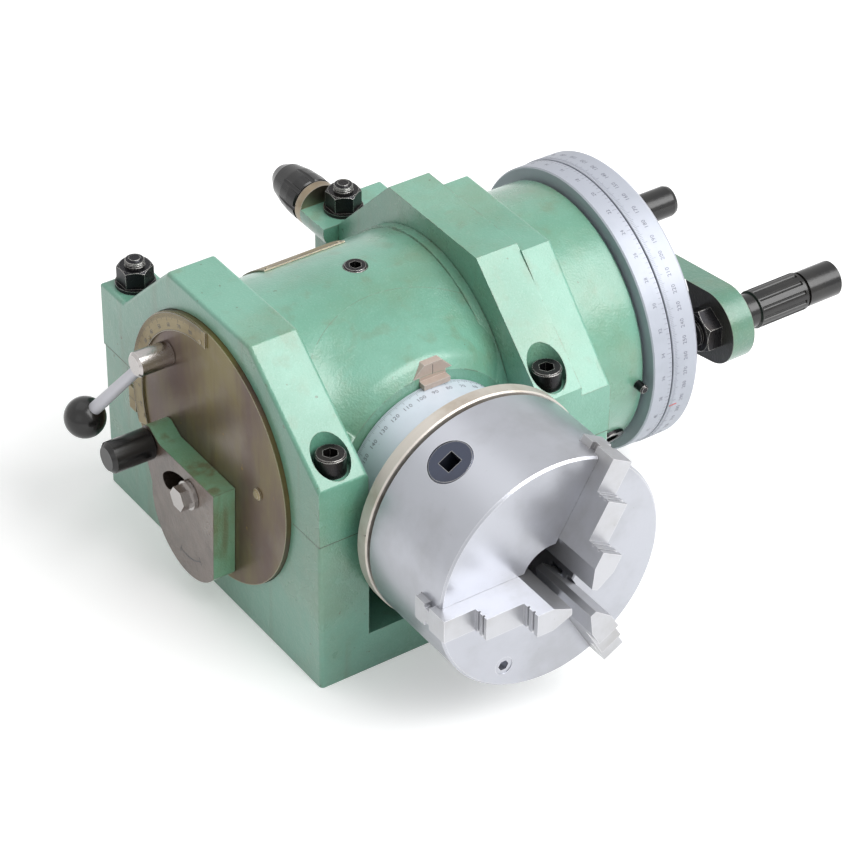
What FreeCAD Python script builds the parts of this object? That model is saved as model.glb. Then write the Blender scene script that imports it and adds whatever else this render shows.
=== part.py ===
import FreeCAD, Part
import math
import os
import Sketcher

from FreeCAD import Placement, Rotation, Vector

# Universal dividing head: a two-pillar base with bolted caps carries a swivelling drum.
# The drum holds the work spindle with its three-jaw chuck, the worm drive and the index crank.
# Origin: on the base's underside, below the crossing of the drum axis and the spindle axis.
# +X runs along the drum axis to the crank side, -Y along the spindle nose, +Z up. Millimetres.

os.makedirs("parts", exist_ok=True)
doc = FreeCAD.newDocument("dividing_head")
sheet = doc.addObject("Spreadsheet::Sheet", "Sizes")


class Size:
    """A value with the sheet formula that gives it, so that features can be bound to it."""

    def __init__(self, value, formula):
        self.value = float(value)
        self.formula = formula

    def __add__(self, other):
        other = as_size(other)
        return Size(self.value + other.value, f"({self.formula} + {other.formula})")

    def __sub__(self, other):
        other = as_size(other)
        return Size(self.value - other.value, f"({self.formula} - {other.formula})")

    def __mul__(self, other):
        other = as_size(other)
        return Size(self.value * other.value, f"({self.formula} * {other.formula})")

    def __truediv__(self, other):
        other = as_size(other)
        return Size(self.value / other.value, f"({self.formula} / {other.formula})")

    def __radd__(self, other):
        return as_size(other) + self

    def __rsub__(self, other):
        return as_size(other) - self

    def __rmul__(self, other):
        return as_size(other) * self

    def __rtruediv__(self, other):
        return as_size(other) / self

    def __neg__(self):
        return Size(-self.value, f"(0 - {self.formula})")


def as_size(number):
    if isinstance(number, Size):
        return number
    return Size(number, repr(float(number)))


def root_of(square):
    square = as_size(square)
    return Size(math.sqrt(square.value), f"sqrt({square.formula})")


def cosine(degrees):
    degrees = as_size(degrees)
    return Size(math.cos(math.radians(degrees.value)), f"cos({degrees.formula} * 1deg)")


def sine(degrees):
    degrees = as_size(degrees)
    return Size(math.sin(math.radians(degrees.value)), f"sin({degrees.formula} * 1deg)")


cells = []


def size(alias, value, meaning):
    """One driving dimension: a row of the sheet with its meaning, its value and its alias."""
    cells.append(alias)
    row = len(cells)
    sheet.set(f"A{row}", meaning)
    sheet.set(f"B{row}", str(value))
    sheet.setAlias(f"B{row}", alias)
    return Size(value, f"Sizes.{alias}")


# Base and bearing caps
axis_height = size("axis_height", 125, "drum and spindle axis above the underside")
base_left = size("base_left", 115, "left end face from the spindle axis")
base_right = size("base_right", 128.5, "right end face from the spindle axis")
base_front = size("base_front", 138, "front face from the drum axis")
base_rear = size("base_rear", 152, "rear face from the drum axis")
left_pillar_inner = size("left_pillar_inner", 75, "inner face of the left pillar")
right_pillar_inner = size("right_pillar_inner", 68.5, "inner face of the right pillar")
sill_height = size("sill_height", 32, "height of the sills that join the pillars")
bed_clearance = size("bed_clearance", 2, "room between the drum and the bed under it")
hold_down_width = size("hold_down_width", 18, "width of the hold-down slots")
hold_down_depth = size("hold_down_depth", 34, "depth of the hold-down slots from the face")
key_slot_depth = size("key_slot_depth", 6, "depth of the key slot in the underside")
key_slot_length = size("key_slot_length", 60, "length of each key slot in the underside")
foot_height = size("foot_height", 47, "front foot of a cap above the joint")
shoulder_height = size("shoulder_height", 53.5, "rear shoulder of a cap above the joint")
shoulder_depth = size("shoulder_depth", 32, "depth of the rear shoulder")
left_cap_top = size("left_cap_top", 116.7, "top of the left cap above the joint")
left_top_front = size("left_top_front", 52, "front edge of the left cap's top flat")
left_top_rear = size("left_top_rear", 55, "rear edge of the left cap's top flat")
right_cap_top = size("right_cap_top", 122.8, "top of the right cap above the joint")
right_top_front = size("right_top_front", 57, "front edge of the right cap's top flat")
right_top_rear = size("right_top_rear", 52.5, "rear edge of the right cap's top flat")
step_cap_top = size("step_cap_top", 119.4, "top of the right cap's lower step")
step_top_front = size("step_top_front", 63, "front edge of the step's top flat")
step_top_rear = size("step_top_rear", 38, "rear edge of the step's top flat")
step_start = size("step_start", 103, "where the right cap steps down")
step_foot_drop = size("step_foot_drop", 7, "how much lower the step's front foot is")
casting_round = size("casting_round", 3, "rounding of the castings' outer edges")
running_gap = size("running_gap", 0.35, "gap between large turning faces")
seat_gap = size("seat_gap", 0.25, "radial gap round a fastener in its hole")

# Cap fasteners
front_screw_y = size("front_screw_y", 122, "front cap screws from the drum axis")
rear_stud_y = size("rear_stud_y", 136, "rear studs from the drum axis")
cap_screw_radius = size("cap_screw_radius", 7, "shank of the cap screws and studs")
cap_screw_head = size("cap_screw_head", 11, "head radius of a cap screw")
cap_screw_head_height = size("cap_screw_head_height", 15, "head height of a cap screw")
cap_screw_socket = size("cap_screw_socket", 5.8, "corner radius of the hexagon socket")
cap_screw_reach = size("cap_screw_reach", 34, "thread engaged in the base")
spot_face_radius = size("spot_face_radius", 14, "spot face round a cap screw head")
spot_face_lift = size("spot_face_lift", 1, "spot face above the cap's foot")
right_stud_shift = size("right_stud_shift", 2, "right fasteners left of their cap's middle")
washer_radius = size("washer_radius", 15, "outer radius of a stud washer")
washer_thickness = size("washer_thickness", 3, "thickness of a stud washer")
stud_nut_corner = size("stud_nut_corner", 13.6, "corner radius of a stud nut")
stud_nut_height = size("stud_nut_height", 14, "height of a stud nut")
stud_stand = size("stud_stand", 6, "stud end above its nut")

# Swivelling drum
journal_radius = size("journal_radius", 102, "journals of the drum")
drum_radius = size("drum_radius", 105, "cast barrel between the caps")
drum_wall = size("drum_wall", 15, "wall of the drum round its chamber")
collar_width = size("collar_width", 7, "raised collar beside the right cap")
collar_lift = size("collar_lift", 1.6, "height of the raised collar")
right_wall = size("right_wall", 16, "wall between the drum's chamber and the gear case")
boss_radius = size("boss_radius", 74, "front boss at its face")
boss_flare = size("boss_flare", 9, "flare of the front boss where it meets the barrel")
boss_face = size("boss_face", 97, "front boss face from the drum axis")
rear_flat = size("rear_flat", 96, "rear flat of the drum from its axis")
rear_cover_radius = size("rear_cover_radius", 30, "radius of the rear bearing cover")
rear_cover_thickness = size("rear_cover_thickness", 5, "thickness of the rear bearing cover")
bearing_tube = size("bearing_tube", 48, "radius of the spindle's front bearing tube")
front_bearing_length = size("front_bearing_length", 42, "length of the front bearing")
front_bearing_outer = size("front_bearing_outer", 39, "outer radius of the front bearing")
rear_bearing_outer = size("rear_bearing_outer", 33, "outer radius of the rear bearing")
rear_bearing_length = size("rear_bearing_length", 36, "length of the rear bearing")
fit_gap = size("fit_gap", 0.06, "radial clearance of a running fit")
end_plate_stand = size("end_plate_stand", 3.8, "left end plate proud of the base")
end_plate_thickness = size("end_plate_thickness", 12.8, "thickness of the left end plate")
scale_inner = size("scale_inner", 88, "inner radius of the angle scale")
scale_thickness = size("scale_thickness", 1.5, "thickness of the angle scale")
scale_start = size("scale_start", -20, "angle scale's lower end")
scale_sweep = size("scale_sweep", 112, "sweep of the angle scale")

# Gear case and index dials
gear_case_end = size("gear_case_end", 187.4, "end of the gear case along the drum axis")
gear_case_radius = size("gear_case_radius", 101.6, "outer radius of the gear case")
gear_case_wall = size("gear_case_wall", 6.2, "wall of the gear case")
gear_case_floor = size("gear_case_floor", 5, "inner wall of the gear case")
dial_gap = size("dial_gap", 2, "dark gap between the gear case and the fixed dial")
fixed_dial_width = size("fixed_dial_width", 16.4, "width of the fixed vernier dial")
fixed_dial_radius = size("fixed_dial_radius", 110.6, "radius of the fixed vernier dial")
dial_groove = size("dial_groove", 0.8, "groove between the two dials")
index_plate_width = size("index_plate_width", 23.4, "thickness of the index plate")
index_plate_lip = size("index_plate_lip", 0.6, "index plate proud of the fixed dial")
dial_chamfer = size("dial_chamfer", 3, "chamfer of the index plate's outer edge")

# Spindle
spindle_front_radius = size("spindle_front_radius", 33, "front journal of the spindle")
spindle_body_radius = size("spindle_body_radius", 29, "spindle between its bearings")
spindle_rear_radius = size("spindle_rear_radius", 27, "rear journal of the spindle")
spindle_bore = size("spindle_bore", 11, "through bore of the spindle")
taper_mouth = size("taper_mouth", 15.63, "radius of the spindle taper at its mouth")
taper_depth = size("taper_depth", 102, "depth of the spindle taper")
nose_radius = size("nose_radius", 48, "flange of the spindle nose")
dial_ring_radius = size("dial_ring_radius", 66.5, "radius of the direct dial on the spindle")
dial_ring_gap = size("dial_ring_gap", 0.5, "gap between the direct dial and the adapter")
spindle_nut_radius = size("spindle_nut_radius", 36, "radius of the spindle's rear nut")
spindle_nut_width = size("spindle_nut_width", 12, "width of the spindle's rear nut")

# Worm drive
wheel_teeth = size("wheel_teeth", 40, "teeth of the worm wheel")
wheel_module = size("wheel_module", 2.2, "module of the worm wheel")
wheel_width = size("wheel_width", 22, "width of the worm wheel")
wheel_hub_radius = size("wheel_hub_radius", 38, "hub of the worm wheel")
wheel_hub_width = size("wheel_hub_width", 8, "hub of the worm wheel beside its rim")
worm_radius = size("worm_radius", 13, "pitch radius of the worm")
worm_length = size("worm_length", 52, "threaded length of the worm")
worm_shaft_radius = size("worm_shaft_radius", 9, "radius of the worm shaft")
worm_y = size("worm_y", -1.2, "worm axis behind the drum axis")
throw_offset = size("throw_offset", 6, "eccentricity of the worm sleeve")
throw_angle = size("throw_angle", 60, "turn of the worm lever that drops the worm")
sleeve_radius = size("sleeve_radius", 26, "outer radius of the eccentric sleeve")
worm_bush_outer = size("worm_bush_outer", 12, "outer radius of the bushes round the worm shaft")
worm_bush_length = size("worm_bush_length", 14, "length of a bush round the worm shaft")
drive_teeth = size("drive_teeth", 18, "teeth of each drive gear")
drive_width = size("drive_width", 14, "width of the drive gears")
drive_gap = size("drive_gap", 7, "drive gears from the gear case's inner wall")

# Index crank
crank_radius = size("crank_radius", 97, "crank pin circle")
crank_angle = size("crank_angle", 10, "rest angle of the crank above the nose direction")
crank_shaft_radius = size("crank_shaft_radius", 12, "radius of the crank shaft")
crank_stand = size("crank_stand", 20, "crank arm from the index plate")
arm_thickness = size("arm_thickness", 19.5, "thickness of the crank arm")
arm_round = size("arm_round", 28.5, "rounded ends of the crank arm")
arm_waist = size("arm_waist", 31, "half width of the crank arm at its hub")
crank_nut_corner = size("crank_nut_corner", 17, "corner radius of the crank nut")
crank_nut_height = size("crank_nut_height", 12, "height of the crank nut")
handle_radius = size("handle_radius", 12.5, "radius of the plain crank handle")
handle_length = size("handle_length", 91, "length of the plain crank handle")
handle_pin_radius = size("handle_pin_radius", 5, "pin that carries the handle")
plunger_sleeve_radius = size("plunger_sleeve_radius", 10, "sleeve of the index plunger")
plunger_nut_corner = size("plunger_nut_corner", 17.3, "corner radius of the plunger nut")
plunger_nut_height = size("plunger_nut_height", 13, "height of the plunger nut")
plunger_pin_radius = size("plunger_pin_radius", 2.5, "index pin")
grip_radius = size("grip_radius", 14.6, "radius of the fluted plunger grip")
grip_length = size("grip_length", 84.5, "length of the plunger grip")
grip_neck_radius = size("grip_neck_radius", 13, "plain neck of the plunger grip")
grip_neck_length = size("grip_neck_length", 8, "length of the grip's plain neck")
index_travel = size("index_travel", 10, "travel of the index pin")
sector_thickness = size("sector_thickness", 1.6, "thickness of a sector arm")
sector_hub_radius = size("sector_hub_radius", 26, "hub of the sector arms")
sector_length = size("sector_length", 106, "reach of the sector arms")

# Levers on the left end
lever_thickness = size("lever_thickness", 18, "thickness of the worm lever")
lever_round = size("lever_round", 46, "rounded lower end of the worm lever")
lever_slot_radius = size("lever_slot_radius", 32, "arc slot of the worm lever")
lever_slot_width = size("lever_slot_width", 13, "width of the arc slot")
clamp_bolt_radius = size("clamp_bolt_radius", 6, "clamp bolt in the arc slot")
worm_grip_radius = size("worm_grip_radius", 12, "handle of the worm lever")
worm_grip_length = size("worm_grip_length", 36, "length of the worm lever's handle")
lock_hub_radius = size("lock_hub_radius", 9.5, "hub of the lock lever")
lock_hub_length = size("lock_hub_length", 28, "length of the lock lever's hub")
lock_hub_y = size("lock_hub_y", 50, "lock lever behind the drum axis")
lock_hub_rise = size("lock_hub_rise", 53, "lock lever above the drum axis")
lock_rod_radius = size("lock_rod_radius", 4.1, "rod of the lock lever at its hub")
lock_rod_end = size("lock_rod_end", 5, "rod of the lock lever at its ball")
lock_rod_length = size("lock_rod_length", 76, "rod of the lock lever")
lock_ball_radius = size("lock_ball_radius", 15.5, "ball of the lock lever")

# Three-jaw chuck
adapter_lip = size("adapter_lip", 1, "adapter proud of the chuck")
adapter_back = size("adapter_back", 147.5, "back of the chuck adapter")
adapter_width = size("adapter_width", 11, "width of the chuck adapter")
chuck_gap = size("chuck_gap", 2, "dark groove between the adapter and the chuck")
chuck_radius = size("chuck_radius", 90, "radius of the chuck")
chuck_length = size("chuck_length", 85.5, "length of the chuck body")
chuck_bore = size("chuck_bore", 23, "bore of the chuck")
chuck_core = size("chuck_core", 29, "core on which the scroll turns")
chuck_wall = size("chuck_wall", 14, "wall of the chuck round its scroll")
scroll_width = size("scroll_width", 12, "thickness of the scroll plate")
guide_depth = size("guide_depth", 22, "depth of the jaw guides below the face")
jaw_width = size("jaw_width", 18, "width of a jaw")
jaw_neck = size("jaw_neck", 11, "width of a jaw between its guide grooves")
jaw_height = size("jaw_height", 41, "tip of a jaw above the chuck face")
jaw_tip = size("jaw_tip", 12, "jaw tip from the chuck axis")
jaw_reach = size("jaw_reach", 95, "outer end of a jaw from the chuck axis")
jaw_nose = size("jaw_nose", 15, "length of a jaw's tapered nose")
jaw_play = size("jaw_play", 0.15, "side play of a jaw in its guide")
pinion_radius = size("pinion_radius", 17, "radius of a chuck pinion")
pinion_back = size("pinion_back", 30, "pinion axis from the chuck's back")
pinion_square = size("pinion_square", 12, "square socket of a pinion")
pinion_socket_depth = size("pinion_socket_depth", 20, "depth of a pinion's socket")

# Fittings
locate_x = size("locate_x", 73.5, "locating plunger along the drum axis")
locate_pin_radius = size("locate_pin_radius", 2.5, "locating pin")
locate_collar_radius = size("locate_collar_radius", 18, "collar of the locating plunger")
locate_knob_radius = size("locate_knob_radius", 18, "knob of the locating plunger")
locate_knob_length = size("locate_knob_length", 43, "length of the locating knob")

locate_rise = size("locate_rise", 50, "locating plunger above the drum axis")
locate_collar_length = size("locate_collar_length", 9, "length of the locating collar")
locate_boss_length = size("locate_boss_length", 32, "boss of the locating plunger along the cap")
locate_cap_radius = size("locate_cap_radius", 9.5, "radius of the locating knob's flat end")
rear_tube_radius = size("rear_tube_radius", 42, "radius of the spindle's rear bearing tube")
rear_tube_length = size("rear_tube_length", 38, "length of the rear bearing tube")
rear_cover_bore = size("rear_cover_bore", 25.5, "bore of the rear bearing cover")
front_tube_start = size("front_tube_start", 55, "inner end of the front bearing tube")
crank_bush_outer = size("crank_bush_outer", 17, "outer radius of the crank bushes")
index_mark_x = size("index_mark_x", 5, "zero mark of the direct dial along the drum axis")
index_mark_width = size("index_mark_width", 22, "width of the zero mark")
index_mark_seat = size("index_mark_seat", 15, "seat of the zero mark in the boss")
index_mark_reach = size("index_mark_reach", 6, "zero mark over the direct dial")
index_mark_thickness = size("index_mark_thickness", 4, "thickness of the zero mark")
index_mark_wall = size("index_mark_wall", 6, "thickness of the zero mark's upright")
index_mark_foot = size("index_mark_foot", 32, "width of the upright at its foot")
index_mark_head = size("index_mark_head", 14, "width of the upright at its top")
index_mark_rise = size("index_mark_rise", 9, "upright above the boss")
oil_plug_x = size("oil_plug_x", 8, "oil plug along the drum axis")
oil_plug_y = size("oil_plug_y", 4, "oil plug behind the drum axis")
oil_plug_radius = size("oil_plug_radius", 9, "radius of the oil plug")
oil_plug_depth = size("oil_plug_depth", 8, "depth of the oil plug")
oil_plug_socket = size("oil_plug_socket", 4.6, "socket of the oil plug")
name_plate_left = size("name_plate_left", -41, "left edge of the name plate")
name_plate_width = size("name_plate_width", 68, "width of the name plate")
name_plate_thickness = size("name_plate_thickness", 1, "thickness of the name plate")
name_plate_low = size("name_plate_low", 40, "lower edge of the name plate round the drum")
name_plate_high = size("name_plate_high", 64, "upper edge of the name plate round the drum")
angle_index_y = size("angle_index_y", 104.5, "near edge of the angle index")
angle_index_width = size("angle_index_width", 9, "width of the angle index")
angle_index_drop = size("angle_index_drop", 33, "lower end of the angle index below the drum axis")
angle_index_length = size("angle_index_length", 20, "length of the angle index")
angle_index_thickness = size("angle_index_thickness", 2.5, "thickness of the angle index")
grease_plug_y = size("grease_plug_y", -66.4, "grease plug from the drum axis")
grease_plug_rise = size("grease_plug_rise", 2.5, "grease plug above the drum axis")
grease_plug_radius = size("grease_plug_radius", 4.5, "radius of the grease plug")
grease_plug_stand = size("grease_plug_stand", 2.5, "height of the grease plug")
sight_angle = size("sight_angle", 216, "oil sight round the gear case")
sight_x = size("sight_x", 171, "oil sight along the drum axis")
sight_radius = size("sight_radius", 13, "outer radius of the oil sight")
sight_bore = size("sight_bore", 8.5, "radius of the oil sight's recess")
zero_pin_angle = size("zero_pin_angle", 182, "zero pin round the gear case")
zero_pin_radius = size("zero_pin_radius", 3.5, "radius of the zero pin")
zero_pin_length = size("zero_pin_length", 9, "height of the zero pin")
zero_pin_edge = size("zero_pin_edge", 6, "zero pin from the gear case's end")
dial_spigot = size("dial_spigot", 8, "spigot of the fixed dial in the gear case")
dial_hub_radius = size("dial_hub_radius", 60, "seat of the index plate on the fixed dial")
index_holes = size("index_holes", 24, "holes of the index circle")
index_hole_radius = size("index_hole_radius", 2.8, "radius of an index hole")
index_hole_depth = size("index_hole_depth", 12, "depth of an index hole")
sector_stack = size("sector_stack", 4.6, "room for the two sector arms")
sector_first = size("sector_first", 150, "rest angle of the first sector arm")
sector_second = size("sector_second", 235, "rest angle of the second sector arm")
sector_tip = size("sector_tip", 9, "width of a sector arm at its tip")
worm_shaft_start = size("worm_shaft_start", -112, "left end of the worm shaft")
worm_shaft_end = size("worm_shaft_end", 160, "right end of the worm shaft")
sleeve_window = size("sleeve_window", 11.5, "window of the sleeve above its axis")
window_half = size("window_half", 37, "half length of the sleeve's window")
lever_front_angle = size("lever_front_angle", 218, "where the lever's front edge meets its round")
lever_rear_angle = size("lever_rear_angle", 8, "where the lever's rear edge meets its round")
lever_top_drop = size("lever_top_drop", 12, "top edge of the worm lever below the drum axis")
lever_top_front = size("lever_top_front", -36, "front corner of the lever's top edge")
lever_slot_spare = size("lever_slot_spare", 3, "spare turn at each end of the arc slot")
ear_y = size("ear_y", 50, "lever handle behind the drum axis")
ear_drop = size("ear_drop", 18, "lever handle below the drum axis")
ear_radius = size("ear_radius", 13, "rounding of the lever round its handle")
clamp_angle = size("clamp_angle", 106, "clamp bolt round the lever's pivot")
clamp_washer_radius = size("clamp_washer_radius", 11, "washer of the clamp bolt")
clamp_head_corner = size("clamp_head_corner", 9.5, "corner radius of the clamp bolt's head")
clamp_head_height = size("clamp_head_height", 8, "head height of the clamp bolt")
lock_stem_radius = size("lock_stem_radius", 7, "stem of the lock lever")
lock_swing = size("lock_swing", 36, "rest angle of the lock lever's rod")
lock_lean = size("lock_lean", 74, "lean of the lock lever's rod")
spindle_tail = size("spindle_tail", 101, "rear end of the spindle from the drum axis")
spindle_tail_radius = size("spindle_tail_radius", 24, "radius of the spindle's rear end")
spindle_shoulder = size("spindle_shoulder", 50, "shoulder of the spindle's front journal")
taper_slope = size("taper_slope", 0.02597, "radius lost per length of the spindle taper")
cover_seat = size("cover_seat", 4, "chuck cover's back from the chuck's back")
cover_front = size("cover_front", 12, "chuck cover's front from the chuck's back")
face_screw_at = size("face_screw_at", 74, "face screw from the chuck axis")
face_screw_radius = size("face_screw_radius", 7, "radius of the face screw")
pinion_inner = size("pinion_inner", 56, "inner end of a chuck pinion")
jaw_low_step = size("jaw_low_step", 12, "outer step of a jaw above the chuck face")
jaw_mid_step = size("jaw_mid_step", 25, "middle step of a jaw above the chuck face")
jaw_first = size("jaw_first", 40, "outer end of a jaw's tip block")
jaw_second = size("jaw_second", 70, "outer end of a jaw's middle step")
jaw_nose_half = size("jaw_nose_half", 2.5, "half width of a jaw's tip")
jaw_bite = size("jaw_bite", 1.6, "depth of the bites across a jaw's steps")
jaw_bite_width = size("jaw_bite_width", 2.6, "width of the bites across a jaw's steps")
crank_collar_radius = size("crank_collar_radius", 18, "collar of the crank shaft")
plunger_rod_radius = size("plunger_rod_radius", 5, "rod of the index plunger")
grip_flute_length = size("grip_flute_length", 45, "fluted length of the plunger grip")

# Orientations: the columns give where local x, y and z point in the part's frame.
FACING = {
    "+Z": (Vector(1, 0, 0), Vector(0, 1, 0), Vector(0, 0, 1)),
    "+X": (Vector(0, 1, 0), Vector(0, 0, 1), Vector(1, 0, 0)),
    "-X": (Vector(0, -1, 0), Vector(0, 0, 1), Vector(-1, 0, 0)),
    "-Y": (Vector(1, 0, 0), Vector(0, 0, 1), Vector(0, -1, 0)),
    "+Y": (Vector(-1, 0, 0), Vector(0, 0, 1), Vector(0, 1, 0)),
}


def bind(thing, prop, value):
    """Set a property and, where the value comes from the sheet, bind it."""
    if isinstance(value, Size):
        thing.setExpression(prop, value.formula)
    else:
        setattr(thing, prop, value)


class Circle:
    def __init__(self, x, y, radius):
        self.x = as_size(x)
        self.y = as_size(y)
        self.radius = as_size(radius)


def hexagon(corner, x=0, y=0, start=0):
    """Corners of a hexagon about a point."""
    return polygon(6, corner, x, y, start)


def polygon(count, corner, x=0, y=0, start=0):
    points = []
    for i in range(count):
        angle = start + 360 * i / count
        points.append((x + corner * cosine(angle), y + corner * sine(angle)))
    return points


def around(x, y, radius, angle):
    """The point at a radius and an angle about a centre."""
    return (x + radius * cosine(angle), y + radius * sine(angle))


def sector(x, y, inner, outer, start, end):
    """Part of a ring with straight ends."""
    return [around(x, y, outer, start), Bend(x, y, outer), around(x, y, outer, end),
            around(x, y, inner, end), Bend(x, y, inner, False), around(x, y, inner, start)]


def arc_slot(x, y, radius, half_width, start, end):
    """A slot along an arc with round ends."""
    first = around(x, y, radius, start)
    last = around(x, y, radius, end)
    inner = radius - half_width
    outer = radius + half_width
    return [around(x, y, outer, start), Bend(x, y, outer), around(x, y, outer, end),
            Bend(last[0], last[1], half_width), around(x, y, inner, end),
            Bend(x, y, inner, False), around(x, y, inner, start),
            Bend(first[0], first[1], half_width)]


def rectangle(low_x, low_y, high_x, high_y):
    return [(low_x, low_y), (high_x, low_y), (high_x, high_y), (low_x, high_y)]


class Piece:
    """One rigid piece: a body whose local z axis is its main axis."""

    def __init__(self, label, at=(0, 0, 0), facing="+Z", spin=0, lean=0):
        self.label = label
        self.body = doc.addObject("PartDesign::Body", label)
        self.body.Label = label
        x_way, y_way, z_way = FACING[facing]
        turn = Rotation(x_way, y_way, z_way, "ZXY")
        turn = turn.multiply(Rotation(Vector(0, 0, 1), as_size(spin).value))
        turn = turn.multiply(Rotation(Vector(1, 0, 0), as_size(lean).value))
        place = [as_size(value) for value in at]
        self.body.Placement = Placement(Vector(*[p.value for p in place]), turn)
        for axis, value in zip("xyz", place):
            self.body.setExpression(f".Placement.Base.{axis}", value.formula)
        self.count = 0

    def name(self, kind):
        self.count += 1
        return f"{self.label}_{kind}_{self.count}"

    def plane(self, role):
        for feature in self.body.Origin.OriginFeatures:
            if feature.Role == role:
                return feature
        raise ValueError(role)

    def sketch(self, role, offset, outlines):
        """A sketch on an origin plane, moved along its normal, with every corner bound."""
        drawing = self.body.newObject("Sketcher::SketchObject", self.name("sketch"))
        drawing.AttachmentSupport = [(self.plane(role), "")]
        drawing.MapMode = "FlatFace"
        offset = as_size(offset)
        drawing.AttachmentOffset = Placement(Vector(0, 0, offset.value), Rotation())
        drawing.setExpression(".AttachmentOffset.Base.z", offset.formula)
        for outline in outlines:
            if isinstance(outline, Circle):
                add_circle(drawing, outline)
            else:
                add_corners(drawing, outline)
        return drawing

    def pad(self, role, start, end, *outlines):
        """Material between two heights over a plane."""
        start = as_size(start)
        feature = self.body.newObject("PartDesign::Pad", self.name("pad"))
        feature.Profile = self.sketch(role, start, outlines)
        bind(feature, "Length", as_size(end) - start)
        self.body.Tip = feature
        return feature

    def cut(self, role, start, end, *outlines):
        """Material taken away between two heights over a plane."""
        start = as_size(start)
        feature = self.body.newObject("PartDesign::Pocket", self.name("pocket"))
        feature.Profile = self.sketch(role, start, outlines)
        feature.Reversed = True
        bind(feature, "Length", as_size(end) - start)
        self.body.Tip = feature
        return feature

    def revolve(self, profile, angle=360):
        """Material turned about local z from corners given as radius and height."""
        feature = self.body.newObject("PartDesign::Revolution", self.name("turned"))
        drawing = self.sketch("XZ_Plane", 0, [profile])
        feature.Profile = drawing
        feature.ReferenceAxis = (drawing, ["V_Axis"])
        bind(feature, "Angle", as_size(angle))
        self.body.Tip = feature
        return feature

    def groove(self, profile):
        """Material turned away about local z."""
        feature = self.body.newObject("PartDesign::Groove", self.name("groove"))
        drawing = self.sketch("XZ_Plane", 0, [profile])
        feature.Profile = drawing
        feature.ReferenceAxis = (drawing, ["V_Axis"])
        feature.Angle = 360
        self.body.Tip = feature
        return feature

    def repeat(self, features, count):
        """Features repeated evenly round local z."""
        pattern = self.body.newObject("PartDesign::PolarPattern", self.name("pattern"))
        pattern.Originals = features
        pattern.Axis = (self.plane("Z_Axis"), [""])
        pattern.Angle = 360
        bind(pattern, "Occurrences", count)
        self.body.Tip = pattern
        return pattern

    def round(self, radius, wanted):
        """Round the edges that the test picks."""
        doc.recompute()
        base = self.body.Tip
        names = [f"Edge{i + 1}" for i, edge in enumerate(base.Shape.Edges) if wanted(edge)]
        feature = self.body.newObject("PartDesign::Fillet", self.name("round"))
        feature.Base = (base, names)
        bind(feature, "Radius", as_size(radius))
        self.body.Tip = feature
        return feature


def add_circle(drawing, circle):
    centre = Vector(circle.x.value, circle.y.value, 0)
    index = drawing.addGeometry(Part.Circle(centre, Vector(0, 0, 1), circle.radius.value))
    add_place(drawing, index, 3, circle.x, circle.y)
    number = drawing.addConstraint(Sketcher.Constraint("Radius", index, circle.radius.value))
    drawing.setExpression(f"Constraints[{number}]", circle.radius.formula)


class Bend:
    """An arc from the corner before it to the corner after it."""

    def __init__(self, x, y, radius, forward=True):
        self.x = as_size(x)
        self.y = as_size(y)
        self.radius = as_size(radius)
        self.forward = forward


def add_corners(drawing, outline):
    """A closed outline of straight lines and arcs, every corner bound to the sheet."""
    corners = []
    bends = []
    for entry in outline:
        if isinstance(entry, Bend):
            bends[-1] = entry
        else:
            corners.append((as_size(entry[0]), as_size(entry[1])))
            bends.append(None)
    ends = []
    for i, bend in enumerate(bends):
        here = corners[i]
        there = corners[(i + 1) % len(corners)]
        if bend is None:
            line = Part.LineSegment(Vector(here[0].value, here[1].value, 0),
                                    Vector(there[0].value, there[1].value, 0))
            ends.append((drawing.addGeometry(line), 1, 2))
        else:
            ends.append(add_arc(drawing, here, there, bend))
    for i, (index, _, last) in enumerate(ends):
        following, first, _ = ends[(i + 1) % len(ends)]
        drawing.addConstraint(Sketcher.Constraint("Coincident", index, last, following, first))
    for (index, first, _), (x, y) in zip(ends, corners):
        add_place(drawing, index, first, x, y)


def add_arc(drawing, here, there, bend):
    """One arc; its ends are given back in the order in which the outline meets them."""
    centre = Vector(bend.x.value, bend.y.value, 0)
    circle = Part.Circle(centre, Vector(0, 0, 1), bend.radius.value)
    angles = [math.atan2(point[1].value - centre.y, point[0].value - centre.x)
              for point in (here, there)]
    if not bend.forward:
        angles.reverse()
    if angles[1] <= angles[0]:
        angles[1] += 2 * math.pi
    index = drawing.addGeometry(Part.ArcOfCircle(circle, angles[0], angles[1]))
    chord_x = there[0].value - here[0].value
    chord_y = there[1].value - here[1].value
    kind, value = ("DistanceX", bend.x) if abs(chord_y) > abs(chord_x) else ("DistanceY", bend.y)
    number = drawing.addConstraint(Sketcher.Constraint(kind, -1, 1, index, 3, value.value))
    drawing.setExpression(f"Constraints[{number}]", value.formula)
    return (index, 1, 2) if bend.forward else (index, 2, 1)


def add_place(drawing, index, point, x, y):
    for kind, value in (("DistanceX", x), ("DistanceY", y)):
        number = drawing.addConstraint(Sketcher.Constraint(kind, -1, 1, index, point, value.value))
        drawing.setExpression(f"Constraints[{number}]", value.formula)


pieces = {}


def keep(piece):
    """Put a finished piece among the nodes that are written out."""
    pieces[piece.label] = piece.body
    return piece


def group(label, members):
    """Like pieces that share one node, as separate solids."""
    joined = doc.addObject("Part::Compound", label)
    joined.Label = label
    joined.Links = [member.body for member in members]
    pieces[label] = joined
    return joined


def fit_into(label, block, tool):
    """A piece with the exact hole that another piece is fitted into."""
    joined = doc.addObject("Part::Cut", label)
    joined.Label = label
    joined.Base = block.body
    joined.Tool = tool.body
    pieces[label] = joined
    return joined


def turned(label, profile, at=(0, 0, 0), facing="+Z", spin=0, lean=0):
    """A turned piece: corners as radius and height about its axis."""
    piece = Piece(label, at, facing, spin, lean)
    piece.revolve(profile)
    return piece


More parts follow.
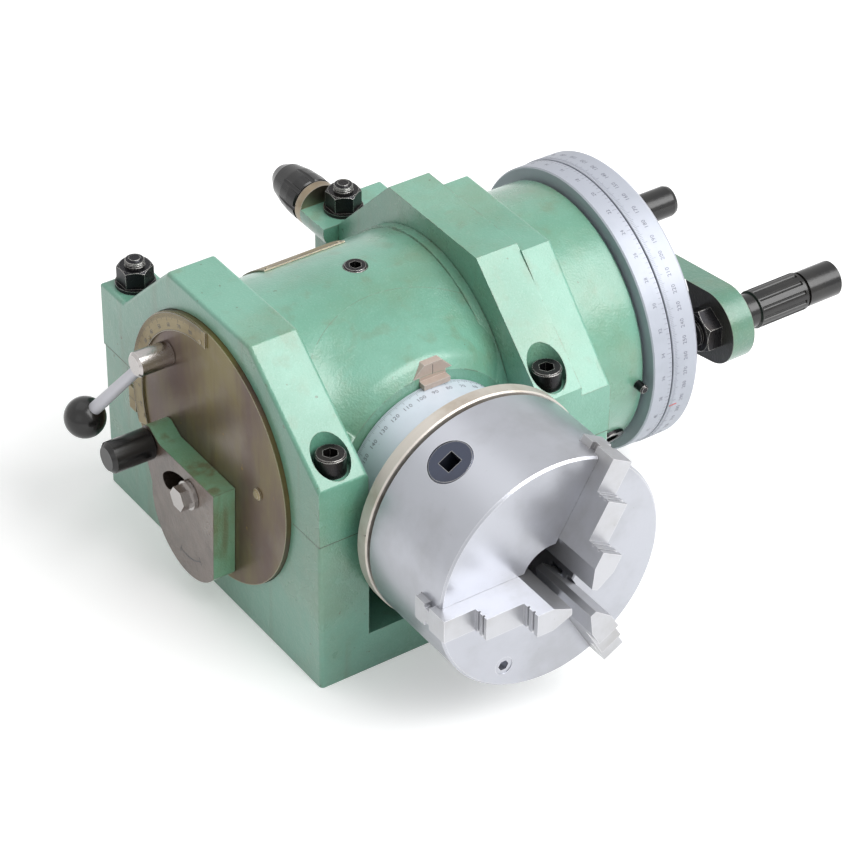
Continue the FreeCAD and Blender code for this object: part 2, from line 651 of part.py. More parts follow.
# Places that several pieces share
drum_axis = (0, 0, axis_height)
drum_bore = drum_radius - drum_wall
gear_case_bore = gear_case_radius - gear_case_wall
nose_reach = adapter_back
dial_ring_face = adapter_back - dial_ring_gap
adapter_radius = chuck_radius + adapter_lip
scroll_radius = chuck_radius - chuck_wall
index_plate_radius = fixed_dial_radius + index_plate_lip
ear_z = axis_height - ear_drop
lever_top = axis_height - lever_top_drop
angle_index_low = axis_height - angle_index_drop
angle_index_high = angle_index_low + angle_index_length
bed_radius = drum_radius + bed_clearance
bore_radius = journal_radius + running_gap
drum_left = -left_pillar_inner + running_gap
drum_right = right_pillar_inner - running_gap
end_plate_face = -base_left - end_plate_stand
chamber_left = end_plate_face + end_plate_thickness
chamber_right = base_right - right_wall
worm_drop = wheel_teeth * wheel_module / 2 + worm_radius
worm_z = axis_height - worm_drop
pivot_y = worm_y + throw_offset * cosine(throw_angle / 2)
pivot_z = worm_z - throw_offset * sine(throw_angle / 2)
fixed_dial_start = gear_case_end + dial_gap
fixed_dial_end = fixed_dial_start + fixed_dial_width
index_plate_start = fixed_dial_end + dial_groove
index_face = index_plate_start + index_plate_width
arm_inner = index_face + crank_stand
arm_outer = arm_inner + arm_thickness
chuck_back = adapter_back + adapter_width + chuck_gap
chuck_face = chuck_back + chuck_length
cap_screw_seat = axis_height + foot_height + spot_face_lift
stud_seat = axis_height + shoulder_height
left_fastener_x = -(base_left + left_pillar_inner) / 2
right_fastener_x = (right_pillar_inner + step_start) / 2 - right_stud_shift
fastener_xs = (left_fastener_x, right_fastener_x)
locate_z = axis_height + locate_rise
rear_tube_start = rear_flat - rear_tube_length
case_floor_end = base_right + gear_case_floor
clamp_y = pivot_y + lever_slot_radius * cosine(clamp_angle)
clamp_z = pivot_z + lever_slot_radius * sine(clamp_angle)
index_mark_base = axis_height + dial_ring_radius + running_gap


def is_clear_of_joint(edge):
    """Edges of a cap away from its joint face."""
    return edge.BoundBox.ZMin > axis_height.value + 0.01


def is_on_outer_face(edge):
    """Edges of the right cap's outer face, away from the joint."""
    return edge.BoundBox.XMin > base_right.value - 0.01 and is_clear_of_joint(edge)


def cap_profile(top, front, rear, foot):
    """Outline of a bearing cap seen along the drum axis: foot, slope, flat, slope, shoulder."""
    joint = axis_height
    return [(-base_front, joint), (-base_front, joint + foot), (-front, joint + top),
            (rear, joint + top), (base_rear - shoulder_depth, joint + shoulder_height),
            (base_rear, joint + shoulder_height), (base_rear, joint)]


def bore_cap(cap, x, start, end):
    """The half bore, the spot face and the fastener holes of a cap."""
    cap.cut("YZ_Plane", start, end, Circle(0, axis_height, bore_radius))
    top = axis_height + right_cap_top
    hole = cap_screw_radius + seat_gap
    cap.cut("XY_Plane", cap_screw_seat, top, Circle(x, -front_screw_y, spot_face_radius))
    cap.cut("XY_Plane", axis_height, top, Circle(x, -front_screw_y, hole),
            Circle(x, rear_stud_y, hole))


def make_base():
    """Cast base: two pillars with half bores, joined by a bed and a sill at each end."""
    base = Piece("base")
    base.pad("XY_Plane", 0, axis_height,
             rectangle(-base_left, -base_front, base_right, base_rear))
    base.round(casting_round, lambda edge: edge.BoundBox.ZLength > axis_height.value - 0.01)
    base.cut("XY_Plane", sill_height, axis_height,
             rectangle(-left_pillar_inner, -base_front, right_pillar_inner, base_rear))
    base.cut("YZ_Plane", -left_pillar_inner, right_pillar_inner,
             Circle(0, axis_height, bed_radius))
    base.cut("YZ_Plane", -base_left, base_right, Circle(0, axis_height, bore_radius))
    half = hold_down_width / 2
    for face, inward in ((-base_front, 1), (base_rear, -1)):
        end = face + inward * (hold_down_depth - half)
        low, high = (face, end) if inward > 0 else (end, face)
        base.cut("XY_Plane", 0, sill_height, rectangle(-half, low, half, high))
        base.cut("XY_Plane", 0, sill_height, Circle(0, end, half))
    base.cut("XY_Plane", 0, key_slot_depth,
             rectangle(-half, -base_front, half, key_slot_length - base_front))
    base.cut("XY_Plane", 0, key_slot_depth,
             rectangle(-half, base_rear - key_slot_length, half, base_rear))
    hole = cap_screw_radius + seat_gap
    depth = axis_height - cap_screw_reach
    for x in fastener_xs:
        base.cut("XY_Plane", depth, axis_height, Circle(x, -front_screw_y, hole),
                 Circle(x, rear_stud_y, hole))
    return keep(base)


def make_left_cap():
    """The left bearing cap, as wide as its pillar."""
    cap = Piece("left_cap")
    profile = cap_profile(left_cap_top, left_top_front, left_top_rear, foot_height)
    cap.pad("YZ_Plane", -base_left, -left_pillar_inner, profile)
    cap.round(casting_round, is_clear_of_joint)
    bore_cap(cap, left_fastener_x, -base_left, -left_pillar_inner)
    return keep(cap)


def make_right_cap():
    """The wider cap, with a lower step on its outer side and the locating pin's bore."""
    cap = Piece("right_cap")
    profile = cap_profile(right_cap_top, right_top_front, right_top_rear, foot_height)
    cap.pad("YZ_Plane", right_pillar_inner, step_start, profile)
    step = cap_profile(step_cap_top, step_top_front, step_top_rear,
                       foot_height - step_foot_drop)
    cap.pad("YZ_Plane", step_start, base_right, step)
    cap.round(casting_round, is_on_outer_face)
    top = axis_height + shoulder_height
    reach = root_of(locate_collar_radius * locate_collar_radius
                    - (top - locate_z) * (top - locate_z))
    low = locate_z - locate_collar_radius
    root = right_pillar_inner + casting_round
    cap.pad("XZ_Plane", -base_rear, -base_rear + locate_boss_length, [
        (root, top), (locate_x - reach, top), Bend(locate_x, locate_z, locate_collar_radius),
        (locate_x, low), (locate_x + 1, low)])
    bore_cap(cap, right_fastener_x, right_pillar_inner, base_right)
    locate_bore = Circle(locate_x, locate_z, locate_pin_radius + fit_gap)
    cap.cut("XZ_Plane", -base_rear, 0, locate_bore)
    return keep(cap)


def make_cap_fasteners():
    """Socket screws at the front, studs with washers and nuts on the rear shoulders."""
    screws, studs, washers, nuts = [], [], [], []
    bottom = axis_height - cap_screw_reach + seat_gap
    screw_top = cap_screw_seat + cap_screw_head_height
    nut_seat = stud_seat + washer_thickness
    nut_top = nut_seat + stud_nut_height
    for i, x in enumerate(fastener_xs, 1):
        screw = turned(f"cap_screw_{i}", [
            (0, bottom), (cap_screw_radius, bottom), (cap_screw_radius, cap_screw_seat),
            (cap_screw_head, cap_screw_seat), (cap_screw_head, screw_top - 1),
            (cap_screw_head - 1, screw_top), (0, screw_top)], at=(x, -front_screw_y, 0))
        screw.cut("XY_Plane", screw_top - cap_screw_head_height / 2, screw_top,
                  hexagon(cap_screw_socket))
        screws.append(screw)
        studs.append(turned(f"cap_stud_{i}", [
            (0, bottom), (cap_screw_radius, bottom),
            (cap_screw_radius, nut_top + stud_stand / 2),
            (cap_screw_radius * 0.6, nut_top + stud_stand), (0, nut_top + stud_stand)],
            at=(x, rear_stud_y, 0)))
        washers.append(turned(f"cap_washer_{i}", [
            (cap_screw_radius + seat_gap, stud_seat), (washer_radius, stud_seat),
            (washer_radius, nut_seat), (cap_screw_radius + seat_gap, nut_seat)],
            at=(x, rear_stud_y, 0)))
        nuts.append(hex_nut(f"cap_nut_{i}", (x, rear_stud_y, nut_seat), "+Z",
                            stud_nut_corner, stud_nut_height, cap_screw_radius + seat_gap))
    group("cap_screws", screws)
    group("cap_studs", studs + washers + nuts)


def hex_nut(label, at, facing, corner, height, bore):
    """A hexagon nut with its outer corners turned off."""
    nut = Piece(label, at, facing)
    nut.pad("XY_Plane", 0, height, hexagon(corner, start=30))
    nut.cut("XY_Plane", 0, height, Circle(0, 0, bore))
    slope = corner * 0.16
    nut.groove([(corner - slope, height), (corner + 1, height), (corner + 1, height - slope)])
    return nut


def fluted(piece, radius, start, end, flutes, flute_radius):
    """Flutes cut along a grip."""
    cut = piece.cut("XY_Plane", start, end,
                    Circle(radius + flute_radius * 0.45, 0, flute_radius))
    piece.repeat([cut], flutes)


def make_locating_plunger():
    """Spring plunger behind the right cap that pins the drum: collar, spring, pin and knob."""
    collar_face = base_rear + locate_collar_length
    inner = locate_pin_radius + fit_gap
    keep(turned("locate_collar", [
        (inner, base_rear), (locate_collar_radius, base_rear),
        (locate_collar_radius, collar_face - 2), (locate_collar_radius - 2, collar_face),
        (inner, collar_face)], at=(locate_x, 0, locate_z), facing="+Y"))
    knob_start = collar_face + running_gap
    knob_end = knob_start + locate_knob_length
    knob = turned("locate_knob", [
        (locate_pin_radius, knob_start), (locate_knob_radius - 1, knob_start),
        (locate_knob_radius, knob_start + 1),
        (locate_knob_radius, knob_start + locate_knob_length * 0.25),
        (locate_knob_radius - 1, knob_start + locate_knob_length * 0.48),
        (locate_knob_radius - 4, knob_start + locate_knob_length * 0.8),
        (locate_cap_radius, knob_end), (locate_pin_radius, knob_end)],
        at=(locate_x, 0, locate_z), facing="+Y")
    fluted(knob, locate_knob_radius, knob_start - 1, knob_end, 8, 2.4)
    keep(knob)
    drop = locate_z - axis_height - locate_pin_radius
    tip = root_of(journal_radius * journal_radius - drop * drop) + running_gap * 2
    keep(turned("locate_pin", [
        (0, tip), (locate_pin_radius - 1, tip), (locate_pin_radius, tip + 1),
        (locate_pin_radius, knob_end - 2), (0, knob_end - 2)],
        at=(locate_x, 0, locate_z), facing="+Y"))


def make_swivel_body():
    """The drum: journals, cast barrel, flared front boss, chamber and bearing tubes."""
    body = Piece("swivel_body")
    axis = axis_height
    body.pad("YZ_Plane", chamber_left, drum_right, Circle(0, axis, journal_radius))
    body.pad("YZ_Plane", drum_left, drum_right, Circle(0, axis, drum_radius))
    body.pad("YZ_Plane", drum_right - collar_width, drum_right,
             Circle(0, axis, drum_radius + collar_lift))
    body.pad("XZ_Plane", 0, drum_radius * 0.86, Circle(0, axis, boss_radius + boss_flare))
    body.pad("XZ_Plane", 0, boss_face, Circle(0, axis, boss_radius))
    body.cut("XZ_Plane", boss_face, axis_height, Circle(0, axis, boss_radius + running_gap))
    body.cut("YZ_Plane", -base_left, drum_left, Circle(0, axis, axis_height * 2),
             Circle(0, axis, journal_radius))
    body.cut("YZ_Plane", drum_right, base_right, Circle(0, axis, axis_height * 2))
    body.pad("YZ_Plane", drum_right, base_right, Circle(0, axis, journal_radius))
    body.cut("XZ_Plane", -drum_radius * 2, -rear_flat,
             rectangle(drum_left, 0, drum_right, axis * 2))
    body.cut("YZ_Plane", chamber_left, chamber_right, Circle(0, axis, drum_bore))
    body.pad("XZ_Plane", front_tube_start, boss_face - 2, Circle(0, axis, bearing_tube))
    body.pad("XZ_Plane", -rear_flat + 1, -rear_tube_start, Circle(0, axis, rear_tube_radius))
    body.cut("XZ_Plane", front_tube_start, boss_face, Circle(0, axis, front_bearing_outer))
    body.cut("XZ_Plane", -rear_flat, -rear_tube_start, Circle(0, axis, rear_bearing_outer))
    body.cut("YZ_Plane", chamber_right, base_right,
             Circle(pivot_y, pivot_z, sleeve_radius + fit_gap))
    body.cut("YZ_Plane", chamber_right, base_right, Circle(0, axis, crank_bush_outer))
    low, high = index_mark_x - index_mark_width / 2, index_mark_x + index_mark_width / 2
    body.cut("XZ_Plane", boss_face - index_mark_seat, boss_face,
             rectangle(low, index_mark_base, high, axis + boss_radius * 1.5))
    body.cut("XY_Plane", axis + drum_radius - oil_plug_depth, axis + drum_radius + 1,
             Circle(oil_plug_x, oil_plug_y, oil_plug_radius))
    return keep(body)


def make_end_plate():
    """Left end plate with the angle scale, its grease plug and the index on the base."""
    plate = Piece("end_plate")
    axis = axis_height
    plate.pad("YZ_Plane", end_plate_face, chamber_left, Circle(0, axis, journal_radius))
    plate.cut("YZ_Plane", end_plate_face, chamber_left,
              Circle(pivot_y, pivot_z, sleeve_radius + fit_gap))
    plate.cut("YZ_Plane", end_plate_face, chamber_left,
              Circle(lock_hub_y, axis + lock_hub_rise, lock_stem_radius + fit_gap))
    plate.cut("YZ_Plane", end_plate_face, chamber_left,
              Circle(clamp_y, clamp_z, clamp_bolt_radius))
    keep(plate)
    scale = Piece("angle_scale")
    scale.pad("YZ_Plane", end_plate_face - scale_thickness, end_plate_face,
              sector(0, axis, scale_inner, journal_radius - 0.5, scale_start,
                     scale_start + scale_sweep))
    keep(scale)
    index = Piece("angle_index")
    index.pad("YZ_Plane", -base_left - angle_index_thickness, -base_left,
              [(angle_index_y, angle_index_low), (angle_index_y + angle_index_width,
                                                  angle_index_low),
               (angle_index_y + angle_index_width, angle_index_high),
               (angle_index_y, angle_index_high)])
    keep(index)
    plug = turned("grease_plug", [
        (0, 0), (grease_plug_radius, 0), (grease_plug_radius, grease_plug_stand / 2),
        (grease_plug_radius * 0.6, grease_plug_stand), (0, grease_plug_stand)],
        at=(end_plate_face, grease_plug_y, axis_height + grease_plug_rise), facing="-X")
    keep(plug)


def make_drum_fittings():
    """Oil plug, bare name plate, zero mark of the direct dial and the rear bearing cover."""
    seat = axis_height + drum_radius - oil_plug_depth
    plug = turned("oil_plug", [
        (0, seat), (oil_plug_radius - seat_gap, seat),
        (oil_plug_radius - seat_gap, seat + oil_plug_depth),
        (oil_plug_radius - 1.5, seat + oil_plug_depth + 1),
        (0, seat + oil_plug_depth + 1)], at=(oil_plug_x, oil_plug_y, 0))
    plug.cut("XY_Plane", seat + 2, seat + oil_plug_depth + 1, hexagon(oil_plug_socket))
    keep(plug)
    plate = Piece("name_plate")
    plate.pad("YZ_Plane", name_plate_left, name_plate_left + name_plate_width,
              sector(0, axis_height, drum_radius + seat_gap,
                     drum_radius + seat_gap + name_plate_thickness,
                     name_plate_low, name_plate_high))
    keep(plate)
    low, high = index_mark_x - index_mark_width / 2, index_mark_x + index_mark_width / 2
    mark = Piece("index_mark")
    mark.pad("XZ_Plane", boss_face - index_mark_seat, boss_face + index_mark_reach,
             rectangle(low + seat_gap, index_mark_base, high - seat_gap,
                       index_mark_base + index_mark_thickness))
    foot, head = index_mark_foot / 2, index_mark_head / 2
    rest = axis_height + root_of(boss_radius * boss_radius - (low * low)) + seat_gap
    crest = axis_height + boss_radius + index_mark_rise
    mark.pad("XZ_Plane", boss_face - index_mark_wall, boss_face, [
        (low + seat_gap, index_mark_base), (high - seat_gap, index_mark_base),
        (high - seat_gap, rest), (index_mark_x + foot, rest), (index_mark_x + head, crest),
        (index_mark_x - head, crest), (index_mark_x - foot, rest), (low + seat_gap, rest)])
    keep(mark)
    keep(turned("rear_cover", [
        (rear_cover_bore, rear_flat), (rear_cover_radius, rear_flat),
        (rear_cover_radius, rear_flat + rear_cover_thickness - 1),
        (rear_cover_radius - 1, rear_flat + rear_cover_thickness),
        (rear_cover_bore, rear_flat + rear_cover_thickness)], at=drum_axis, facing="+Y"))
    front = turned("front_bearing", [
        (spindle_front_radius + fit_gap, boss_face - front_bearing_length),
        (front_bearing_outer, boss_face - front_bearing_length),
        (front_bearing_outer, boss_face), (spindle_front_radius + fit_gap, boss_face)],
        at=drum_axis, facing="-Y")
    rear = turned("rear_bearing", [
        (spindle_rear_radius + fit_gap, rear_flat - rear_bearing_length),
        (rear_bearing_outer, rear_flat - rear_bearing_length),
        (rear_bearing_outer, rear_flat), (spindle_rear_radius + fit_gap, rear_flat)],
        at=drum_axis, facing="+Y")
    group("spindle_bearings", [front, rear])


def make_gear_case():
    """Ring case bolted to the drum, with a sight boss low at the front and a zero pin."""
    case = Piece("gear_case", drum_axis, "+X", spin=sight_angle)
    case.revolve([(crank_bush_outer, base_right), (gear_case_radius, base_right),
                  (gear_case_radius, gear_case_end - 2), (gear_case_radius - 2, gear_case_end),
                  (gear_case_bore, gear_case_end), (gear_case_bore, base_right + gear_case_floor),
                  (crank_bush_outer, base_right + gear_case_floor)])
    clear = sleeve_radius + fit_gap + running_gap
    away = root_of(pivot_y * pivot_y + (axis_height - pivot_z) * (axis_height - pivot_z))
    turn = math.degrees(math.atan2(pivot_z.value - axis_height.value, pivot_y.value))
    x, y = around(0, 0, away, turn - sight_angle.value)
    case.cut("XY_Plane", base_right, base_right + gear_case_floor, Circle(x, y, clear))
    case.cut("YZ_Plane", gear_case_bore - 5, gear_case_radius + 5,
             Circle(0, sight_x, sight_radius + seat_gap))
    keep(case)
    seat = gear_case_bore
    sight = turned("oil_sight", [
        (0, seat), (sight_radius, seat), (sight_radius, gear_case_radius + 2),
        (sight_bore, gear_case_radius + 2), (sight_bore, gear_case_radius - 4),
        (0, gear_case_radius - 4)],
        at=(sight_x, 0, axis_height), facing="+X", spin=sight_angle + 90, lean=90)
    keep(sight)
    keep(turned("zero_pin", [
        (0, gear_case_radius), (zero_pin_radius, gear_case_radius),
        (zero_pin_radius, gear_case_radius + zero_pin_length - 1),
        (zero_pin_radius - 1, gear_case_radius + zero_pin_length),
        (0, gear_case_radius + zero_pin_length)],
        at=(gear_case_end - zero_pin_edge, 0, axis_height), facing="+X",
        spin=zero_pin_angle + 90, lean=90))


def make_dials():
    """Fixed dial spigoted into the gear case, the index plate on it and the crank's bush."""
    spigot = gear_case_bore
    keep(turned("fixed_dial", [
        (crank_bush_outer, gear_case_end - dial_spigot), (spigot, gear_case_end - dial_spigot),
        (spigot, fixed_dial_start), (fixed_dial_radius - 1, fixed_dial_start),
        (fixed_dial_radius, fixed_dial_start + 1), (fixed_dial_radius, fixed_dial_end - 0.5),
        (fixed_dial_radius - 1, fixed_dial_end), (dial_hub_radius, fixed_dial_end),
        (dial_hub_radius, index_plate_start), (crank_bush_outer, index_plate_start)],
        at=drum_axis, facing="+X"))
    plate = turned("index_plate", [
        (crank_bush_outer, index_plate_start), (index_plate_radius - 0.5, index_plate_start),
        (index_plate_radius, index_plate_start + 0.5),
        (index_plate_radius, index_face - dial_chamfer),
        (index_plate_radius - dial_chamfer, index_face), (crank_bush_outer, index_face)],
        at=drum_axis, facing="+X", spin=-crank_angle)
    holes = plate.cut("XY_Plane", index_face - index_hole_depth, index_face,
                      Circle(-crank_radius, 0, index_hole_radius))
    plate.repeat([holes], index_holes)
    keep(plate)
    bush_end = index_face + sector_stack
    inner = turned("crank_bush", [
        (crank_shaft_radius + fit_gap, base_right - right_wall),
        (crank_bush_outer, base_right - right_wall), (crank_bush_outer, case_floor_end),
        (crank_shaft_radius + fit_gap, case_floor_end)], at=drum_axis, facing="+X")
    outer = turned("dial_bush", [
        (crank_shaft_radius + fit_gap, gear_case_end - dial_spigot),
        (crank_bush_outer, gear_case_end - dial_spigot), (crank_bush_outer, bush_end),
        (crank_shaft_radius + fit_gap, bush_end)], at=drum_axis, facing="+X")
    group("crank_bushes", [inner, outer])


def make_sector_arms():
    """Two thin arms that mark the arc of holes to be passed."""
    start = index_face + running_gap
    for i, turn in enumerate((sector_first, sector_second), 1):
        arm = Piece(f"sector_arm_{i}", drum_axis, "+X", spin=turn)
        low = start
        high = start + sector_thickness
        arm.pad("XY_Plane", low, high, Circle(0, 0, sector_hub_radius))
        arm.pad("XY_Plane", low, high, [(0, 0), (0, -sector_hub_radius),
                                        (sector_length, -sector_tip), (sector_length, 0)])
        arm.cut("XY_Plane", low, high, Circle(0, 0, crank_bush_outer + fit_gap))
        keep(arm)
        start = high + running_gap


def gear(label, at, facing, spin, teeth, module, start, end, bore, tooth_first, thin):
    """Spur gear of straight-sided teeth about local z, with one tooth or one gap at local x."""
    pitch = module * teeth / 2
    root = pitch - module * 1.25
    tip = pitch + module
    turn = 0 if tooth_first else 180 / teeth.value
    wheel = Piece(label, at, facing, spin + turn)
    wheel.pad("XY_Plane", start, end, Circle(0, 0, root), Circle(0, 0, bore))
    low = module * 1.05 * thin
    high = module * 0.42 * thin
    tooth = wheel.pad("XY_Plane", start, end, [
        (root - module * 0.6, -low), (tip, -high), (tip, high), (root - module * 0.6, low)])
    wheel.repeat([tooth], teeth)
    return wheel


def make_worm_drive():
    """Worm wheel on the spindle; worm, worm shaft and the two equal drive gears."""
    wheel = gear("worm_wheel", (0, worm_y + wheel_width / 2, axis_height), "-Y", -90,
                 wheel_teeth, wheel_module, 0, wheel_width, spindle_body_radius, False, 0.8)
    hub = wheel_hub_width
    wheel.pad("XY_Plane", -hub, 0, Circle(0, 0, wheel_hub_radius),
              Circle(0, 0, spindle_body_radius))
    keep(wheel)
    lead = wheel_module * math.pi
    worm_root = worm_radius - wheel_module * 1.2
    worm_tip = worm_radius + wheel_module
    half = worm_length / 2
    worm = Piece("worm", (0, worm_y, worm_z), "+X", spin=90)
    worm.revolve([(0, worm_shaft_start), (worm_shaft_radius, worm_shaft_start),
                  (worm_shaft_radius, -half - 6), (worm_root, -half - 6),
                  (worm_root, half + 6), (worm_shaft_radius, half + 6),
                  (worm_shaft_radius, worm_shaft_end), (0, worm_shaft_end)])
    thread = worm.body.newObject("PartDesign::AdditiveHelix", worm.name("thread"))
    turns = 7
    low = -lead * (turns - 1) / 2
    drawing = worm.sketch("XZ_Plane", 0, [[
        (worm_root - 0.3, low - wheel_module * 0.8), (worm_tip, low - wheel_module * 0.28),
        (worm_tip, low + wheel_module * 0.28), (worm_root - 0.3, low + wheel_module * 0.8)]])
    thread.Profile = drawing
    thread.ReferenceAxis = (drawing, ["V_Axis"])
    thread.Mode = "pitch-turns-angle"
    bind(thread, "Pitch", lead)
    thread.Turns = turns - 1
    thread.LeftHanded = False
    thread.Reversed = False
    worm.body.Tip = thread
    keep(worm)
    gear_from = case_floor_end + drive_gap
    gear_to = gear_from + drive_width
    away = root_of(worm_y * worm_y + worm_drop * worm_drop)
    module = away / drive_teeth
    toward = math.degrees(math.atan2(-worm_drop.value, worm_y.value))
    keep(gear("crank_gear", drum_axis, "+X", toward, drive_teeth, module, gear_from, gear_to,
              crank_shaft_radius, True, 0.9))
    keep(gear("worm_gear", (0, worm_y, worm_z), "+X", toward + 180, drive_teeth, module,
              gear_from, gear_to, worm_shaft_radius, False, 0.9))


def make_worm_lever():
    """Throw-out lever: plate with an arc slot, eccentric sleeve, handle and clamp bolt."""
    face = end_plate_face - running_gap
    outer = face - lever_thickness
    plate = Piece("worm_lever")
    y, z, r = pivot_y, pivot_z, lever_round
    front = around(y, z, r, lever_front_angle)
    rear = around(y, z, r, lever_rear_angle)
    ear = ear_radius
    plate.pad("YZ_Plane", outer, face, [
        (lever_top_front, lever_top), front, Bend(y, z, r), rear,
        (ear_y + ear, ear_z), Bend(ear_y, ear_z, ear), (ear_y, ear_z + ear),
        (ear_y - ear, lever_top)],
        arc_slot(y, z, lever_slot_radius, lever_slot_width / 2,
                 clamp_angle - throw_angle - lever_slot_spare, clamp_angle + lever_slot_spare))
    keep(plate)
    sleeve = Piece("worm_sleeve")
    bore = worm_shaft_radius + fit_gap
    end = case_floor_end + 1
    sleeve.pad("YZ_Plane", face, end, Circle(y, z, sleeve_radius))
    sleeve.cut("YZ_Plane", worm_shaft_start - 1, end, Circle(worm_y, worm_z, bore))
    room = worm_length / 2 + 6.5
    sleeve.cut("YZ_Plane", -room, room, Circle(worm_y, worm_z, worm_radius + wheel_module + 1))
    deep = sleeve_window
    bushes = []
    for side, inner, outer_end in (
            ("left", worm_shaft_start, worm_shaft_start + worm_bush_length),
            ("right", end - worm_bush_length, end)):
        sleeve.cut("YZ_Plane", inner, outer_end,
                   Circle(worm_y, worm_z, worm_bush_outer + fit_gap))
        bushes.append(turned(side + "_worm_bush", [
            (bore, inner), (worm_bush_outer, inner), (worm_bush_outer, outer_end),
            (bore, outer_end)], at=(0, worm_y, worm_z), facing="+X"))
    group("worm_bushes", bushes)
    far = sleeve_radius * 2
    along = throw_angle
    bend = deep * (1 - sine(90 - along)) / cosine(90 - along)
    sleeve.cut("YZ_Plane", -window_half, window_half, [
        (y - far, z + deep), (y + bend, z + deep),
        (y + bend + far * sine(90 - along), z + deep - far * cosine(90 - along)),
        (y + far * 2, z + deep - far * cosine(90 - along)), (y + far * 2, z + far * 2),
        (y - far, z + far * 2)])
    keep(sleeve)
    keep(turned("worm_lever_grip", [
        (0, 0), (worm_grip_radius - 2, 0), (worm_grip_radius, 2),
        (worm_grip_radius, worm_grip_length - 3), (worm_grip_radius - 3, worm_grip_length),
        (0, worm_grip_length)], at=(outer, ear_y, ear_z), facing="-X"))
    seat = -outer + running_gap
    bolt = turned("clamp_bolt", [
        (0, -chamber_left), (clamp_bolt_radius, -chamber_left), (clamp_bolt_radius, seat),
        (clamp_washer_radius, seat), (clamp_washer_radius, seat + washer_thickness),
        (0, seat + washer_thickness)], at=(0, clamp_y, clamp_z), facing="-X")
    bolt.pad("XY_Plane", seat + washer_thickness, seat + washer_thickness + clamp_head_height,
             hexagon(clamp_head_corner))
    keep(bolt)


def make_lock_lever():
    """Spindle lock: hub with its stem through the end plate, bent rod and ball."""
    start = -end_plate_face + running_gap
    hub_z = axis_height + lock_hub_rise
    hub = turned("lock_hub_blank", [
        (0, -chamber_left), (lock_stem_radius, -chamber_left), (lock_stem_radius, start),
        (lock_hub_radius, start), (lock_hub_radius, start + lock_hub_length - 2),
        (lock_hub_radius - 2, start + lock_hub_length), (0, start + lock_hub_length)],
        at=(0, lock_hub_y, hub_z), facing="-X")
    root = (end_plate_face - running_gap - lock_hub_length * 0.6, lock_hub_y, hub_z)
    rod = keep(turned("lock_rod", [
        (0, 0), (lock_rod_radius, 0), (lock_rod_end, lock_rod_length),
        (0, lock_rod_length)], at=root, facing="-X", spin=-lock_swing, lean=lock_lean))
    fit_into("lock_hub", hub, rod)
    ball = lock_ball_radius
    flat = root_of(ball * ball - lock_rod_end * lock_rod_end)
    centre = lock_rod_length + flat
    keep(turned("lock_ball", [
        (0, centre - flat), (lock_rod_end, centre - flat),
        Bend(0, centre, ball), (0, centre + ball)],
        at=root, facing="-X", spin=-lock_swing, lean=lock_lean))


def make_spindle():
    """Hollow spindle with its taper, nose flange, direct dial and rear nut."""
    keep(turned("spindle", [
        (spindle_bore, -spindle_tail), (spindle_tail_radius, -spindle_tail),
        (spindle_tail_radius, -rear_flat), (spindle_rear_radius, -rear_flat + 1),
        (spindle_rear_radius, -rear_tube_start), (spindle_body_radius, -rear_tube_start),
        (spindle_body_radius, spindle_shoulder), (spindle_front_radius, spindle_shoulder),
        (spindle_front_radius, boss_face + running_gap), (nose_radius, boss_face + running_gap),
        (nose_radius, nose_reach), (taper_mouth, nose_reach),
        (taper_mouth - taper_depth * taper_slope, nose_reach - taper_depth),
        (spindle_bore, nose_reach - taper_depth)], at=drum_axis, facing="-Y"))
    dial_back = boss_face + running_gap
    keep(turned("direct_dial", [
        (nose_radius, dial_back), (dial_ring_radius - 1, dial_back),
        (dial_ring_radius, dial_back + 1), (dial_ring_radius, dial_ring_face - 2),
        (dial_ring_radius - 2, dial_ring_face), (nose_radius, dial_ring_face)],
        at=drum_axis, facing="-Y"))
    hub_back = worm_y + wheel_width / 2 + wheel_hub_width
    keep(turned("spindle_nut", [
        (spindle_body_radius, hub_back), (spindle_nut_radius, hub_back),
        (spindle_nut_radius, hub_back + spindle_nut_width),
        (spindle_body_radius, hub_back + spindle_nut_width)], at=drum_axis, facing="+Y"))


